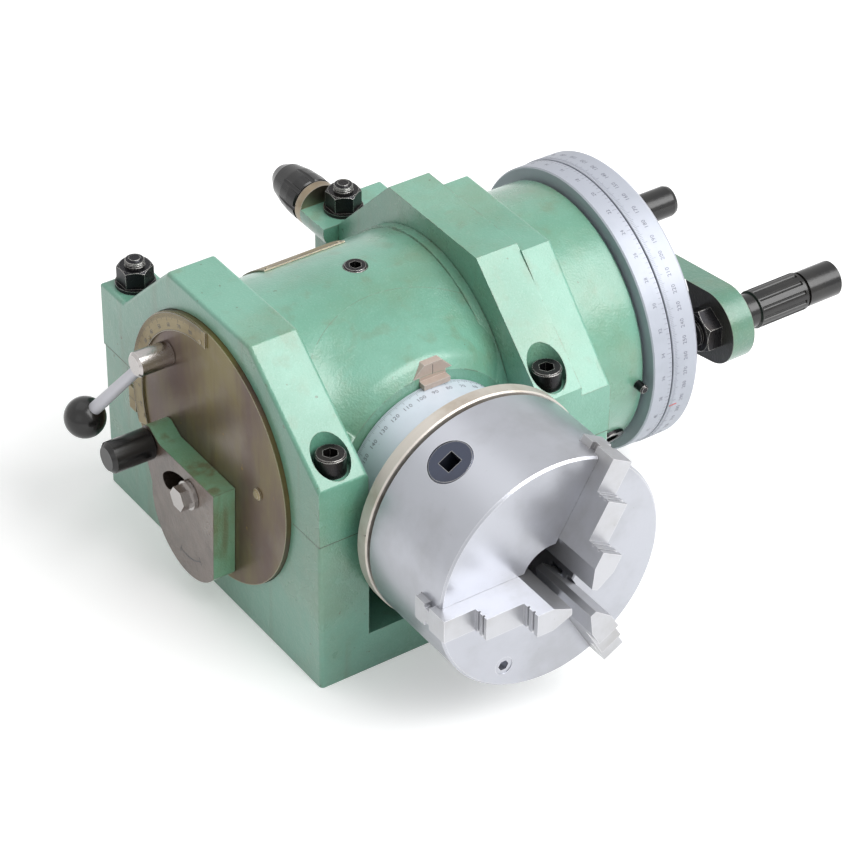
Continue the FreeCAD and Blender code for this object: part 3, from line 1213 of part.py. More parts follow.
def make_chuck():
    """Adapter, body, back cover and face screw of the three-jaw chuck."""
    front = adapter_back + adapter_width
    spigot = scroll_radius
    keep(turned("chuck_adapter", [
        (taper_mouth + 2, adapter_back), (adapter_radius - 1, adapter_back),
        (adapter_radius, adapter_back + 1), (adapter_radius, front - 1),
        (adapter_radius - 1, front), (spigot, front), (spigot, front + chuck_gap + cover_seat),
        (taper_mouth + 2, front + chuck_gap + cover_seat)], at=drum_axis, facing="-Y"))
    frame = (0, -chuck_back, axis_height)
    jaw_angle = 60
    scroll_front = chuck_length - guide_depth
    body = turned("chuck_body", [
        (chuck_bore, cover_front), (chuck_core, cover_front), (chuck_core, scroll_front),
        (scroll_radius + running_gap, scroll_front), (scroll_radius + running_gap, 0),
        (chuck_radius - 1.5, 0), (chuck_radius, 1.5), (chuck_radius, chuck_length - 1.5),
        (chuck_radius - 1.5, chuck_length), (chuck_bore + 1, chuck_length),
        (chuck_bore, chuck_length - 1)], at=frame, facing="-Y", spin=jaw_angle)
    wide = jaw_width / 2 + jaw_play
    neck = jaw_neck / 2 + jaw_play
    low, high = guide_heights()
    top = chuck_length + 1
    slot = body.cut("YZ_Plane", 0, chuck_radius + 5, [
        (-wide, scroll_front - 1), (wide, scroll_front - 1), (wide, low), (neck, low),
        (neck, high), (wide, high), (wide, top), (-wide, top), (-wide, high), (-neck, high),
        (-neck, low), (-wide, low)])
    socket = body.cut("YZ_Plane", -chuck_radius - 1, -scroll_radius + 5,
                      Circle(0, pinion_back, pinion_radius + fit_gap))
    body.repeat([slot, socket], as_size(3))
    body.cut("XY_Plane", scroll_front - 1, chuck_length,
             Circle(-face_screw_at, 0, face_screw_radius))
    keep(body)
    screw = turned("chuck_face_screw", [
        (0, scroll_front + 1), (face_screw_radius, scroll_front + 1),
        (face_screw_radius, chuck_length - 0.5), (0, chuck_length - 0.5)],
        at=on_chuck(240, face_screw_at, 0), facing="-Y")
    screw.cut("XY_Plane", chuck_length - face_screw_radius, chuck_length,
              hexagon(face_screw_radius * 0.6))
    keep(screw)
    keep(turned("chuck_cover", [
        (chuck_bore, cover_seat), (scroll_radius, cover_seat), (scroll_radius, cover_front),
        (chuck_bore, cover_front)], at=frame, facing="-Y"))
    back = scroll_front - running_gap - scroll_width
    keep(turned("scroll", [
        (chuck_core + running_gap, back), (scroll_radius - 12, back),
        (scroll_radius, back + 4), (scroll_radius, scroll_front - running_gap),
        (chuck_core + running_gap, scroll_front - running_gap)], at=frame, facing="-Y"))
    for i, angle in enumerate((0, 120, 240), 1):
        pinion = turned(f"pinion_{i}", [
            (0, pinion_inner), (pinion_radius * 0.7, pinion_inner),
            (pinion_radius, pinion_inner + 6), (pinion_radius, chuck_radius - 1.2),
            (pinion_radius - 1, chuck_radius - 0.4), (0, chuck_radius - 0.4)],
            at=(0, -chuck_back - pinion_back, axis_height), facing="-Y", spin=angle + 90,
            lean=90)
        half = pinion_square / 2
        pinion.cut("XY_Plane", chuck_radius - pinion_socket_depth, chuck_radius,
                   rectangle(-half, -half, half, half))
        keep(pinion)
    for i, angle in enumerate((60, 180, 300), 1):
        make_jaw(i, angle, frame, scroll_front)


def guide_heights():
    """Lower and upper height of the ribs in the jaw guides."""
    return chuck_length - guide_depth / 2, chuck_length - guide_depth / 4


def on_chuck(angle, radius, height):
    """A place on the chuck, at an angle about its axis and a height along it."""
    return (radius * cosine(angle), -chuck_back - height, axis_height + radius * sine(angle))


def make_jaw(number, angle, frame, scroll_front):
    """A stepped jaw with guide grooves and a tapered nose."""
    jaw = Piece(f"jaw_{number}", frame, "-Y", spin=angle)
    foot = scroll_front + running_gap
    half = jaw_width / 2
    face = chuck_length
    jaw.pad("XZ_Plane", -half, half, [
        (jaw_tip, foot), (jaw_reach, foot), (jaw_reach, face + jaw_low_step),
        (jaw_second, face + jaw_low_step), (jaw_second, face + jaw_mid_step),
        (jaw_first, face + jaw_mid_step), (jaw_first, face + jaw_height),
        (jaw_tip, face + jaw_height)])
    low, high = guide_heights()
    neck = jaw_neck / 2
    for side in (-1, 1):
        inner, outer = side * neck, side * (half + 1)
        jaw.cut("YZ_Plane", 0, jaw_reach + 1, [
            (inner, low - jaw_play), (outer, low - jaw_play), (outer, high + jaw_play),
            (inner, high + jaw_play)])
        jaw.cut("XY_Plane", foot, face + jaw_height + 1, [
            (jaw_tip - 1, side * jaw_nose_half), (jaw_tip, side * jaw_nose_half),
            (jaw_tip + jaw_nose, side * half), (jaw_tip + jaw_nose, side * (half + 1)),
            (jaw_tip - 1, side * (half + 1))])
    wide = jaw_bite_width
    for step, foot, top in ((jaw_second, jaw_low_step, jaw_mid_step),
                            (jaw_first, jaw_mid_step, jaw_height)):
        spare = (top - foot - wide * 2) / 3
        for start in (face + foot + spare, face + foot + spare * 2 + wide):
            jaw.cut("XZ_Plane", -half - 1, half + 1, [
                (step - jaw_bite, start + wide / 4), (step + 1, start), (step + 1, start + wide),
                (step - jaw_bite, start + wide * 0.75)])
    keep(jaw)


def make_crank():
    """Index crank: shaft, arm, nut, plain handle and the spring index plunger."""
    bush_end = index_face + sector_stack
    keep(turned("crank_shaft", [
        (0, base_right - right_wall), (crank_shaft_radius, base_right - right_wall),
        (crank_shaft_radius, bush_end + running_gap), (crank_collar_radius,
                                                       bush_end + running_gap),
        (crank_collar_radius, arm_inner), (crank_shaft_radius, arm_inner),
        (crank_shaft_radius, arm_outer + crank_nut_height + 2),
        (crank_shaft_radius - 2, arm_outer + crank_nut_height + 4),
        (0, arm_outer + crank_nut_height + 4)], at=drum_axis, facing="+X"))
    arm = Piece("crank_arm", drum_axis, "+X", spin=-crank_angle)
    r, end, d = arm_waist, arm_round, crank_radius
    c = (r - end) / d
    s = root_of(1 - c * c)
    arm.pad("XY_Plane", arm_inner, arm_outer, [
        (d + end * c, end * s), (r * c, r * s), (-r * c, r * s), (-d - end * c, end * s),
        Bend(-d, 0, end), (-d - end * c, -end * s), (-r * c, -r * s), (r * c, -r * s),
        (d + end * c, -end * s), Bend(d, 0, end)])
    arm.cut("XY_Plane", arm_inner, arm_outer, Circle(0, 0, crank_shaft_radius),
            Circle(-d, 0, plunger_sleeve_radius), Circle(d, 0, handle_pin_radius))
    keep(arm)
    keep(hex_nut("crank_nut", (arm_outer, 0, axis_height), "+X", crank_nut_corner,
                 crank_nut_height, crank_shaft_radius))
    plunger = crank_place(180)
    handle = crank_place(0)
    sleeve_from = arm_inner - plunger_nut_height - 2
    inside = plunger_rod_radius + fit_gap
    sleeve = turned("plunger_sleeve", [
        (inside, sleeve_from), (plunger_sleeve_radius, sleeve_from),
        (plunger_sleeve_radius, arm_outer), (inside, arm_outer)], at=plunger, facing="+X")
    nut = hex_nut("plunger_nut", (arm_inner, plunger[1], plunger[2]), "-X",
                  plunger_nut_corner, plunger_nut_height, plunger_sleeve_radius)
    group("plunger_mount", [sleeve, nut])
    tip = index_face + sector_stack - 0.6
    rod_from = tip + index_travel
    grip_from = arm_outer + index_travel + running_gap
    flutes_from = grip_from + grip_neck_length
    grip_end = grip_from + grip_length
    keep(turned("index_pin", [
        (0, tip), (plunger_pin_radius - 0.8, tip), (plunger_pin_radius, tip + 1.5),
        (plunger_pin_radius, rod_from), (plunger_rod_radius, rod_from + 2),
        (plunger_rod_radius, grip_end - 4), (0, grip_end - 4)], at=plunger, facing="+X"))
    groove_at = flutes_from + grip_flute_length
    grip = turned("plunger_grip", [
        (plunger_rod_radius, grip_from), (grip_neck_radius, grip_from),
        (grip_neck_radius, flutes_from), (grip_radius, flutes_from + 1),
        (grip_radius, groove_at - 1),
        (grip_radius - 1, groove_at), (grip_radius - 3, groove_at),
        (grip_radius - 3, groove_at + 2), (grip_radius - 1, groove_at + 2),
        (grip_radius - 1, grip_end - 1), (grip_radius - 2, grip_end),
        (plunger_rod_radius, grip_end)], at=plunger, facing="+X")
    fluted(grip, grip_radius, flutes_from + 2, groove_at - 3, 12, 2)
    keep(grip)
    handle_end = arm_outer + handle_length
    bore = handle_pin_radius + running_gap
    keep(turned("handle_pin", [
        (0, arm_inner), (handle_pin_radius, arm_inner), (handle_pin_radius, handle_end - 4),
        (handle_pin_radius + 4, handle_end - 4), (handle_pin_radius + 4, handle_end - 1),
        (0, handle_end - 1)], at=handle, facing="+X"))
    start = arm_outer + running_gap
    keep(turned("crank_handle", [
        (bore, start), (handle_radius - 2, start), (handle_radius, start + 3),
        (handle_radius, handle_end - 3), (handle_radius - 1, handle_end),
        (handle_pin_radius + 4 + running_gap, handle_end),
        (handle_pin_radius + 4 + running_gap, handle_end - 4 - running_gap),
        (bore, handle_end - 4 - running_gap)], at=handle, facing="+X"))


def crank_place(angle):
    """Where the crank's pin circle is crossed, at an angle from the crank's rear end."""
    turn = angle - crank_angle
    return (0, crank_radius * cosine(turn), axis_height + crank_radius * sine(turn))


make_base()
make_left_cap()
make_right_cap()
make_cap_fasteners()
make_locating_plunger()
make_swivel_body()
make_end_plate()
make_drum_fittings()
make_gear_case()
make_dials()
make_sector_arms()
make_worm_drive()
make_worm_lever()
make_lock_lever()
make_spindle()
make_chuck()
make_crank()

doc.recompute()
for thing in doc.Objects:
    if "Invalid" in thing.State or "Error" in thing.State:
        raise RuntimeError(f"{thing.Name} failed: {thing.State}")
for label, thing in pieces.items():
    if thing.Shape.isNull() or not thing.Shape.isValid():
        raise RuntimeError(f"{label} has no valid shape")
for label, thing in pieces.items():
    thing.Shape.exportStep(f"parts/{label}.step")
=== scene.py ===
import math

import bmesh
import bpy
from mathutils import Matrix, Vector


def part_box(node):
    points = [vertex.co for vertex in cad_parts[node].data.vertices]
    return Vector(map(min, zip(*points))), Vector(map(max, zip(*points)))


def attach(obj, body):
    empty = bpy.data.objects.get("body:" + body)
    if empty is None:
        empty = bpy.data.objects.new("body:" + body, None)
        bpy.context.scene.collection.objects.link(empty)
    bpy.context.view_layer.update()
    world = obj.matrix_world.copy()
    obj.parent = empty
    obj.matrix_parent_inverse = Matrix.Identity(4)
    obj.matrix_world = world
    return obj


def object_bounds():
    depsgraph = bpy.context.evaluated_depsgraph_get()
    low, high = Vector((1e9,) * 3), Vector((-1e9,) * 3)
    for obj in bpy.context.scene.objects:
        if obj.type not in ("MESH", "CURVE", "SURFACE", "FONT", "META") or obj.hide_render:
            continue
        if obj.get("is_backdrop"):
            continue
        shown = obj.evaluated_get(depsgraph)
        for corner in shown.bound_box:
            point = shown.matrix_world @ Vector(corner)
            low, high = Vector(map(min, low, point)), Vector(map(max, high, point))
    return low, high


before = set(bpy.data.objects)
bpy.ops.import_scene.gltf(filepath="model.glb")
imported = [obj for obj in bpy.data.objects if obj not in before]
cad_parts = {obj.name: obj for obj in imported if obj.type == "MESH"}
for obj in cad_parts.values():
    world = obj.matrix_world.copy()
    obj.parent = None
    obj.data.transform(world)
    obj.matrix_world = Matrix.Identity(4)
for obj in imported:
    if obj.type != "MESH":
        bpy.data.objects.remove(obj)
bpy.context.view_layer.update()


# Cast iron base, bearing caps, drum and gear case.
# Machined where the drum turns and at the joints, elsewhere filled and sprayed with sea-green
# enamel, which has faded, chipped at the edges and soaked up cutting oil.
def linear(red, green, blue):
    """A colour given as the eye sees it, 0 to 255, in the values that a shader takes."""
    out = []
    for part in (red, green, blue):
        part /= 255
        out.append(part / 12.92 if part <= 0.04045 else ((part + 0.055) / 1.055) ** 2.4)
    return (*out, 1.0)


def put(tree, kind, place=(0, 0), **settings):
    """A shader node in its place, with its settings."""
    made = tree.nodes.new(kind)
    made.location = place
    for name, value in settings.items():
        setattr(made, name, value)
    return made


def feed(tree, source, target):
    """Joins two sockets, or sets the second to a plain value."""
    if isinstance(source, bpy.types.NodeSocket):
        tree.links.new(source, target)
    else:
        target.default_value = source


def sum_of(tree, kind, first, second, place=(0, 0), clamp=False):
    """Arithmetic on two values."""
    made = put(tree, "ShaderNodeMath", place, operation=kind, use_clamp=clamp)
    feed(tree, first, made.inputs[0])
    feed(tree, second, made.inputs[1])
    return made.outputs[0]


def window(tree, value, low, high, place=(0, 0)):
    """A value stretched so that low gives 0 and high gives 1."""
    made = put(tree, "ShaderNodeMapRange", place, interpolation_type="SMOOTHSTEP")
    feed(tree, value, made.inputs["Value"])
    feed(tree, low, made.inputs["From Min"])
    feed(tree, high, made.inputs["From Max"])
    return made.outputs["Result"]


def noise(tree, scale, detail=3.0, rough=0.55, stretch=(1, 1, 1), shift=0.0, place=(0, 0)):
    """Noise in the part's own frame; scale is in bumps per metre."""
    where = put(tree, "ShaderNodeTexCoord", (place[0] - 500, place[1]))
    move = put(tree, "ShaderNodeMapping", (place[0] - 300, place[1]))
    move.inputs["Scale"].default_value = stretch
    move.inputs["Location"].default_value = (shift, shift * 0.7, shift * 1.3)
    tree.links.new(where.outputs["Object"], move.inputs["Vector"])
    made = put(tree, "ShaderNodeTexNoise", place)
    tree.links.new(move.outputs["Vector"], made.inputs["Vector"])
    feed(tree, scale, made.inputs["Scale"])
    made.inputs["Detail"].default_value = detail
    made.inputs["Roughness"].default_value = rough
    return made.outputs["Fac"]


def over(tree, mask, first, second, place=(0, 0)):
    """The second colour over the first where the mask is 1."""
    made = put(tree, "ShaderNodeMix", place, data_type="RGBA")
    feed(tree, mask, made.inputs[0])
    feed(tree, first, made.inputs[6])
    feed(tree, second, made.inputs[7])
    return made.outputs[2]


def new_group(name, takes, gives):
    """An empty shader group; takes holds (name, value) and gives holds names, all plain values."""
    group = bpy.data.node_groups.new(name, "ShaderNodeTree")
    for label, value in takes:
        socket = group.interface.new_socket(label, in_out="INPUT", socket_type="NodeSocketFloat")
        socket.default_value = value
    for label in gives:
        group.interface.new_socket(label, in_out="OUTPUT", socket_type="NodeSocketFloat")
    entry = put(group, "NodeGroupInput", (-900, 0))
    leave = put(group, "NodeGroupOutput", (900, 0))
    return group, entry.outputs, leave.inputs


def use_group(tree, group, place=(0, 0), **values):
    """A group in a material, with its own values."""
    made = put(tree, "ShaderNodeGroup", place, node_tree=group)
    for name, value in values.items():
        feed(tree, value, made.inputs[name])
    return made.outputs


def build_edge_wear():
    """Where edges stand out: a mask broken up by noise for worn edges, and the clean edge itself.

    The finishes use the clean edge for a painted highlight.
    """
    group, takes, gives = new_group("edge wear", [("Width", 0.001), ("Amount", 0.5),
                                                  ("Patch", 90.0)], ["Worn", "Edge"])
    soft = put(group, "ShaderNodeBevel", (-600, 200), samples=4)
    feed(group, takes["Width"], soft.inputs["Radius"])
    flat = put(group, "ShaderNodeNewGeometry", (-600, 0))
    turn = put(group, "ShaderNodeVectorMath", (-400, 100), operation="DOT_PRODUCT")
    group.links.new(soft.outputs["Normal"], turn.inputs[0])
    group.links.new(flat.outputs["Normal"], turn.inputs[1])
    bend = sum_of(group, "SUBTRACT", 1.0, turn.outputs["Value"], (-200, 100), True)
    edge = window(group, bend, 0.004, 0.09, (0, 100))
    broken = noise(group, takes["Patch"], 6.0, 0.7, place=(0, -200))
    level = sum_of(group, "SUBTRACT", 1.0, takes["Amount"], (0, -400))
    kept = sum_of(group, "MULTIPLY", edge, broken, (200, 0))
    gap = sum_of(group, "ADD", sum_of(group, "MULTIPLY", level, 0.5, (150, -400)), 0.12,
                 (250, -400))
    far = sum_of(group, "ADD", gap, 0.05, (350, -400))
    feed(group, window(group, kept, gap, far, (500, 0)), gives["Worn"])
    feed(group, edge, gives["Edge"])
    return group


def build_staining():
    """Oil and dirt: soft clouds, small spots, streaks that run down, and fine grain."""
    group, takes, gives = new_group("staining", [("Cloud", 14.0), ("Spot", 160.0)],
                                    ["Clouds", "Spots", "Runs", "Fine"])
    cloud = noise(group, takes["Cloud"], 5.0, 0.62, place=(-200, 400))
    spot = noise(group, takes["Spot"], 2.0, 0.5, place=(-200, 150), shift=3.0)
    runs = noise(group, 60.0, 3.0, 0.5, (1, 1, 0.09), 5.0, (-200, -100))
    fine = noise(group, 900.0, 2.0, 0.6, place=(-200, -350), shift=1.0)
    feed(group, window(group, cloud, 0.44, 0.72, (200, 400)), gives["Clouds"])
    feed(group, window(group, spot, 0.725, 0.79, (200, 150)), gives["Spots"])
    feed(group, window(group, runs, 0.56, 0.72, (200, -100)), gives["Runs"])
    feed(group, fine, gives["Fine"])
    return group


edge_wear_and_highlight = build_edge_wear()
staining = build_staining()


def new_finish(name):
    """A material with its Principled shader: the material, its tree and the shader."""
    made = bpy.data.materials.new(name)
    made.use_nodes = True
    tree = made.node_tree
    shader = tree.nodes["Principled BSDF"]
    shader.location = (900, 0)
    tree.nodes["Material Output"].location = (1200, 0)
    return made, tree, shader


def bumped(tree, shader, height, distance, strength):
    """Relief from a height, in metres."""
    made = put(tree, "ShaderNodeBump", (700, -400))
    made.inputs["Distance"].default_value = distance
    made.inputs["Strength"].default_value = strength
    feed(tree, height, made.inputs["Height"])
    tree.links.new(made.outputs["Normal"], shader.inputs["Normal"])


def slot_mask(tree, slot):
    """1 between the two radii of an arc slot round an axis along X, within its half width."""
    middle_y, middle_z, inner, outer, half_width = slot
    soft = 0.001
    where = put(tree, "ShaderNodeTexCoord", (-300, 1500))
    shifted = put(tree, "ShaderNodeVectorMath", (-100, 1500), operation="SUBTRACT")
    tree.links.new(where.outputs["Object"], shifted.inputs[0])
    shifted.inputs[1].default_value = (0, middle_y, middle_z)
    flat = put(tree, "ShaderNodeVectorMath", (50, 1500), operation="MULTIPLY")
    tree.links.new(shifted.outputs[0], flat.inputs[0])
    flat.inputs[1].default_value = (0, 1, 1)
    reach = put(tree, "ShaderNodeVectorMath", (200, 1500), operation="LENGTH")
    tree.links.new(flat.outputs[0], reach.inputs[0])
    parts = put(tree, "ShaderNodeSeparateXYZ", (200, 1650))
    tree.links.new(shifted.outputs[0], parts.inputs[0])
    side = sum_of(tree, "ABSOLUTE", parts.outputs[1], 0.0, (350, 1800))
    within = window(tree, reach.outputs["Value"], outer + soft, outer, (350, 1500))
    beyond = window(tree, reach.outputs["Value"], inner, inner + soft, (350, 1350))
    beside = window(tree, side, half_width, half_width - soft, (350, 1650))
    band = sum_of(tree, "MULTIPLY", within, beyond, (500, 1500))
    return sum_of(tree, "MULTIPLY", band, beside, (650, 1500))


def bare_left_face(tree, base, clouds, face_tones):
    """Lays three tones over the paint, on faces that look towards -X.

    On the worm lever they are bare metal; on the crank arm they are painted shade.
    """
    facing = put(tree, "ShaderNodeTexCoord", (-300, 900))
    parts = put(tree, "ShaderNodeSeparateXYZ", (-100, 900))
    tree.links.new(facing.outputs["Normal"], parts.inputs[0])
    leftward = sum_of(tree, "MULTIPLY", parts.outputs[0], -1.0, (50, 900))
    bare = window(tree, leftward, 0.85, 0.95, (200, 900))
    pale, dull, dark = face_tones
    grit = window(tree, noise(tree, 60.0, 6.0, 0.7, place=(100, 1200), shift=8.0), 0.35, 0.75,
                  (300, 1100))
    metal = over(tree, grit, over(tree, clouds, pale, dull, (400, 800)), dark, (550, 800))
    return over(tree, bare, base, metal, (780, 300))


def enamel_finish(name, paint, faded, chip_amount, oil, left_face=None, slot=None):
    """Sprayed enamel: orange peel with painted glints, fading, chips, oil, and a painted highlight
    on clean edges.

    left_face holds the three tones of a face towards -X: bare metal on the lever, painted shade on
    the crank arm. slot is (y, z, inner radius, outer radius, half width) of an arc slot whose
    walls carry painted shade."""
    made, tree, shader = new_finish(name)
    wear_and_highlight = use_group(tree, edge_wear_and_highlight, (-700, 300), Width=0.0014, Amount=chip_amount, Patch=75.0)
    dirt = use_group(tree, staining, (-700, -100), Cloud=11.0, Spot=170.0)
    tone = noise(tree, 7.0, 4.0, 0.6, place=(-300, 600), shift=2.0)
    base = over(tree, window(tree, tone, 0.35, 0.65, (-100, 600)), paint, faded, (100, 500))
    peel = noise(tree, 700.0, 2.0, 0.5, place=(0, -500), shift=4.0)
    glint = sum_of(tree, "MULTIPLY", window(tree, peel, 0.5, 0.72, (0, 700)), 0.1, (100, 700))
    base = over(tree, glint, base, linear(158, 198, 182), (180, 500))
    oily = sum_of(tree, "MULTIPLY", dirt["Clouds"], oil, (-100, 0))
    base = over(tree, oily, base, linear(112, 118, 78), (250, 400))
    runs = sum_of(tree, "MULTIPLY", dirt["Runs"], oil * 0.7, (-100, -150))
    base = over(tree, runs, base, linear(104, 96, 62), (400, 350))
    base = over(tree, sum_of(tree, "MULTIPLY", dirt["Spots"], 0.7, (500, 150)), base,
                linear(78, 88, 70), (550, 300))
    # Paler enamel on the clean edges: a painted highlight.
    rim = sum_of(tree, "MULTIPLY", wear_and_highlight["Edge"], 0.16, (600, 50))
    base = over(tree, rim, base, linear(176, 206, 194), (620, 280))
    base = over(tree, sum_of(tree, "MULTIPLY", wear_and_highlight["Worn"], 0.75, (620, 120)), base,
                linear(92, 92, 74), (700, 250))
    gloss = sum_of(tree, "MULTIPLY_ADD", dirt["Clouds"], -0.12, (300, -100))
    gloss.node.inputs[2].default_value = 0.34
    rough = sum_of(tree, "ADD", gloss, sum_of(tree, "MULTIPLY", wear_and_highlight["Worn"], 0.3, (300, -250)),
                   (500, -100), True)
    if slot:
        # Near-black brown on the slot's walls: painted shade in the recess.
        base = over(tree, slot_mask(tree, slot), base, linear(46, 38, 32), (740, 450))
    if left_face:
        base = bare_left_face(tree, base, dirt["Clouds"], left_face)
    feed(tree, base, shader.inputs["Base Color"])
    feed(tree, rough, shader.inputs["Roughness"])
    shader.inputs["Coat Weight"].default_value = 0.6
    shader.inputs["Coat Roughness"].default_value = 0.26
    lumps = noise(tree, 60.0, 3.0, 0.5, place=(0, -800), shift=6.0)
    height = sum_of(tree, "ADD", sum_of(tree, "MULTIPLY", peel, 0.35, (250, -500)), lumps,
                    (400, -600))
    height = sum_of(tree, "SUBTRACT", height, sum_of(tree, "MULTIPLY", wear_and_highlight["Worn"], 0.3,
                                                     (400, -800)), (550, -600))
    bumped(tree, shader, height, 0.0012, 0.75)
    return made


enamel = enamel_finish("sea-green enamel", linear(90, 143, 121), linear(109, 162, 142),
                       0.3, 0.3)


def dress(finish, *names):
    """Gives CAD nodes their material."""
    for name in names:
        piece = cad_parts[name]
        piece.data.materials.clear()
        piece.data.materials.append(finish)


dress(enamel, "base", "left_cap", "right_cap", "swivel_body", "gear_case")


# Cap screws, studs with their nuts and washers, oil plug, zero pin and chuck pinions.
# Steel, heat blackened and wiped with oil; tool marks stay visible where it is turned. The
# screws and the studs clamp the caps to the base, the pinions sit in the chuck's side.
def build_turned_rings():
    """Tool marks of a lathe: rings round the drum's axis, or round the spindle's for a nose."""
    group, takes, gives = new_group("turned rings", [("Nose", 0.0), ("Scale", 900.0)], ["Rings"])
    where = put(group, "ShaderNodeTexCoord", (-900, 300))
    parts = put(group, "ShaderNodeSeparateXYZ", (-700, 300))
    group.links.new(where.outputs["Object"], parts.inputs[0])
    swap = sum_of(group, "SUBTRACT", parts.outputs[1], parts.outputs[0], (-550, 400))
    swap = sum_of(group, "MULTIPLY", swap, takes["Nose"], (-400, 400))
    along = sum_of(group, "ADD", parts.outputs[0], swap, (-250, 450))
    side = sum_of(group, "SUBTRACT", parts.outputs[1], swap, (-250, 300))
    high = sum_of(group, "SUBTRACT", parts.outputs[2], axis_height, (-550, 100))
    square = sum_of(group, "ADD", sum_of(group, "MULTIPLY", side, side, (-100, 300)),
                    sum_of(group, "MULTIPLY", high, high, (-100, 100)), (50, 200))
    reach = sum_of(group, "SQRT", square, 0.0, (200, 200))
    place = put(group, "ShaderNodeCombineXYZ", (350, 300))
    group.links.new(sum_of(group, "MULTIPLY", reach, takes["Scale"], (350, 150)),
                    place.inputs[0])
    group.links.new(sum_of(group, "MULTIPLY", along, takes["Scale"], (350, 0)), place.inputs[1])
    made = put(group, "ShaderNodeTexNoise", (550, 300), noise_dimensions="2D")
    group.links.new(place.outputs[0], made.inputs["Vector"])
    made.inputs["Scale"].default_value = 1.0
    made.inputs["Detail"].default_value = 3.0
    feed(group, made.outputs["Fac"], gives["Rings"])
    return group


axis_height = 0.125
turned_rings = build_turned_rings()


def steel_finish(name, bright, brown, rough, brown_amount, nose=0.0, metallic=1.0):
    """Machined metal: tool marks round its axis, oil film, small rust spots, bright edges.

    nose is 1 for a piece turned round the spindle, and 0 for one round the drum's axis."""
    made, tree, shader = new_finish(name)
    wear_and_highlight = use_group(tree, edge_wear_and_highlight, (-700, 300), Width=0.0008, Amount=0.8, Patch=140.0)
    dirt = use_group(tree, staining, (-700, -100), Cloud=16.0, Spot=260.0)
    marks = use_group(tree, turned_rings, (-700, -400), Nose=nose, Scale=900.0)["Rings"]
    film = sum_of(tree, "MULTIPLY", dirt["Clouds"], brown_amount, (0, -50))
    base = over(tree, film, bright, brown, (200, 300))
    spots = sum_of(tree, "MULTIPLY", dirt["Spots"], min(1.0, brown_amount * 1.4), (0, -200))
    base = over(tree, spots, base, linear(70, 52, 38), (400, 250))
    base = over(tree, sum_of(tree, "MULTIPLY", wear_and_highlight["Worn"], 0.7, (450, 100)), base,
                linear(205, 203, 198), (600, 250))
    feed(tree, base, shader.inputs["Base Color"])
    shader.inputs["Metallic"].default_value = metallic
    change = sum_of(tree, "MULTIPLY", marks, 0.2, (200, -100))
    feed(tree, sum_of(tree, "ADD", change, rough, (400, -100), True), shader.inputs["Roughness"])
    bumped(tree, shader, marks, 0.00006, 0.6)
    return made


black_steel = steel_finish("blackened steel", linear(40, 40, 43), linear(58, 50, 42), 0.2, 0.5,
                           metallic=0.85)
dress(black_steel, "cap_screws", "cap_studs", "oil_plug", "crank_nut", "plunger_mount",
      "zero_pin")
pinion_steel = steel_finish("blue-grey pinion steel", linear(74, 78, 92), linear(62, 60, 64),
                            0.34, 0.4, nose=1.0, metallic=0.9)
dress(pinion_steel, "pinion_1", "pinion_2", "pinion_3")


# Threads of the two rear studs.
# Each stud is screwed into the base; its end stands above the nut and shows a rolled thread.
def add_piece(name, shape, finish, body):
    """A mesh as a piece of the scene, riding on its body."""
    sheet = bpy.data.meshes.new(name)
    shape.to_mesh(sheet)
    shape.free()
    sheet.materials.append(finish)
    piece = bpy.data.objects.new(name, sheet)
    bpy.context.scene.collection.objects.link(piece)
    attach(piece, body)
    return piece


def lathe(shape, profile, place, corners=32):
    """A turned solid from (radius, height) points; place maps x, y, height to the model."""
    rows = []
    for radius, height in profile:
        row = []
        for i in range(corners):
            turn = 2 * math.pi * i / corners
            row.append(shape.verts.new(place(radius * math.cos(turn), radius * math.sin(turn),
                                             height)))
        rows.append(row)
    for low, high in zip(rows, rows[1:]):
        for i in range(corners):
            j = (i + 1) % corners
            shape.faces.new((low[i], low[j], high[j], high[i]))
    shape.faces.new(list(reversed(rows[0])))
    shape.faces.new(rows[-1])


def thread_profile(core, crest, start, end, pitch):
    """Radius and height of a thread's crests and roots."""
    profile = [(core, start)]
    level = start
    while level + pitch < end:
        profile += [(core, level), (crest, level + pitch * 0.4), (crest, level + pitch * 0.6)]
        level += pitch
    return profile + [(core, level), (core, end)]


stud_low, stud_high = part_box("cap_studs")
washer_radius = 0.015
thread_core, thread_crest, thread_pitch = 0.0068, 0.0073, 0.0015
stud_y = (stud_low.y + stud_high.y) / 2
stud_threads = bmesh.new()
for stud_x in (stud_low.x + washer_radius, stud_high.x - washer_radius):
    lathe(stud_threads,
          thread_profile(thread_core, thread_crest, stud_high.z - 0.006, stud_high.z - 0.0012,
                         thread_pitch),
          lambda x, y, z, stud_x=stud_x: (stud_x + x, stud_y + y, z))
add_piece("stud_threads", stud_threads, black_steel, "base")


# Joint lines between the caps and the base.
# The caps are clamped metal to metal; oil and dirt have drawn a dark line along the joint.
def ink_finish(name, colour):
    """Paint rubbed into etched marks, worn thin in places."""
    made, tree, shader = new_finish(name)
    thin = window(tree, noise(tree, 500.0, 3.0, 0.6, place=(-400, 200)), 0.45, 0.75, (-100, 200))
    bare, share = 0.35, 0.4
    worn = tuple((1 - share) * part + share * bare for part in colour[:3]) + (1.0,)
    feed(tree, over(tree, thin, colour, worn, (200, 200)), shader.inputs["Base Color"])
    feed(tree, window(tree, thin, -0.8, 1.4, (200, -100)), shader.inputs["Roughness"])
    return made


joint_lines = bmesh.new()
line_height, line_stand = 0.0005, 0.00005
cap_bore = 0.1045


def draw_strip(shape, low, high):
    """A thin box from its lowest to its highest corner."""
    made = bmesh.ops.create_cube(shape, size=1.0)["verts"]
    for corner in made:
        for i in range(3):
            corner.co[i] = low[i] if corner.co[i] < 0 else high[i]


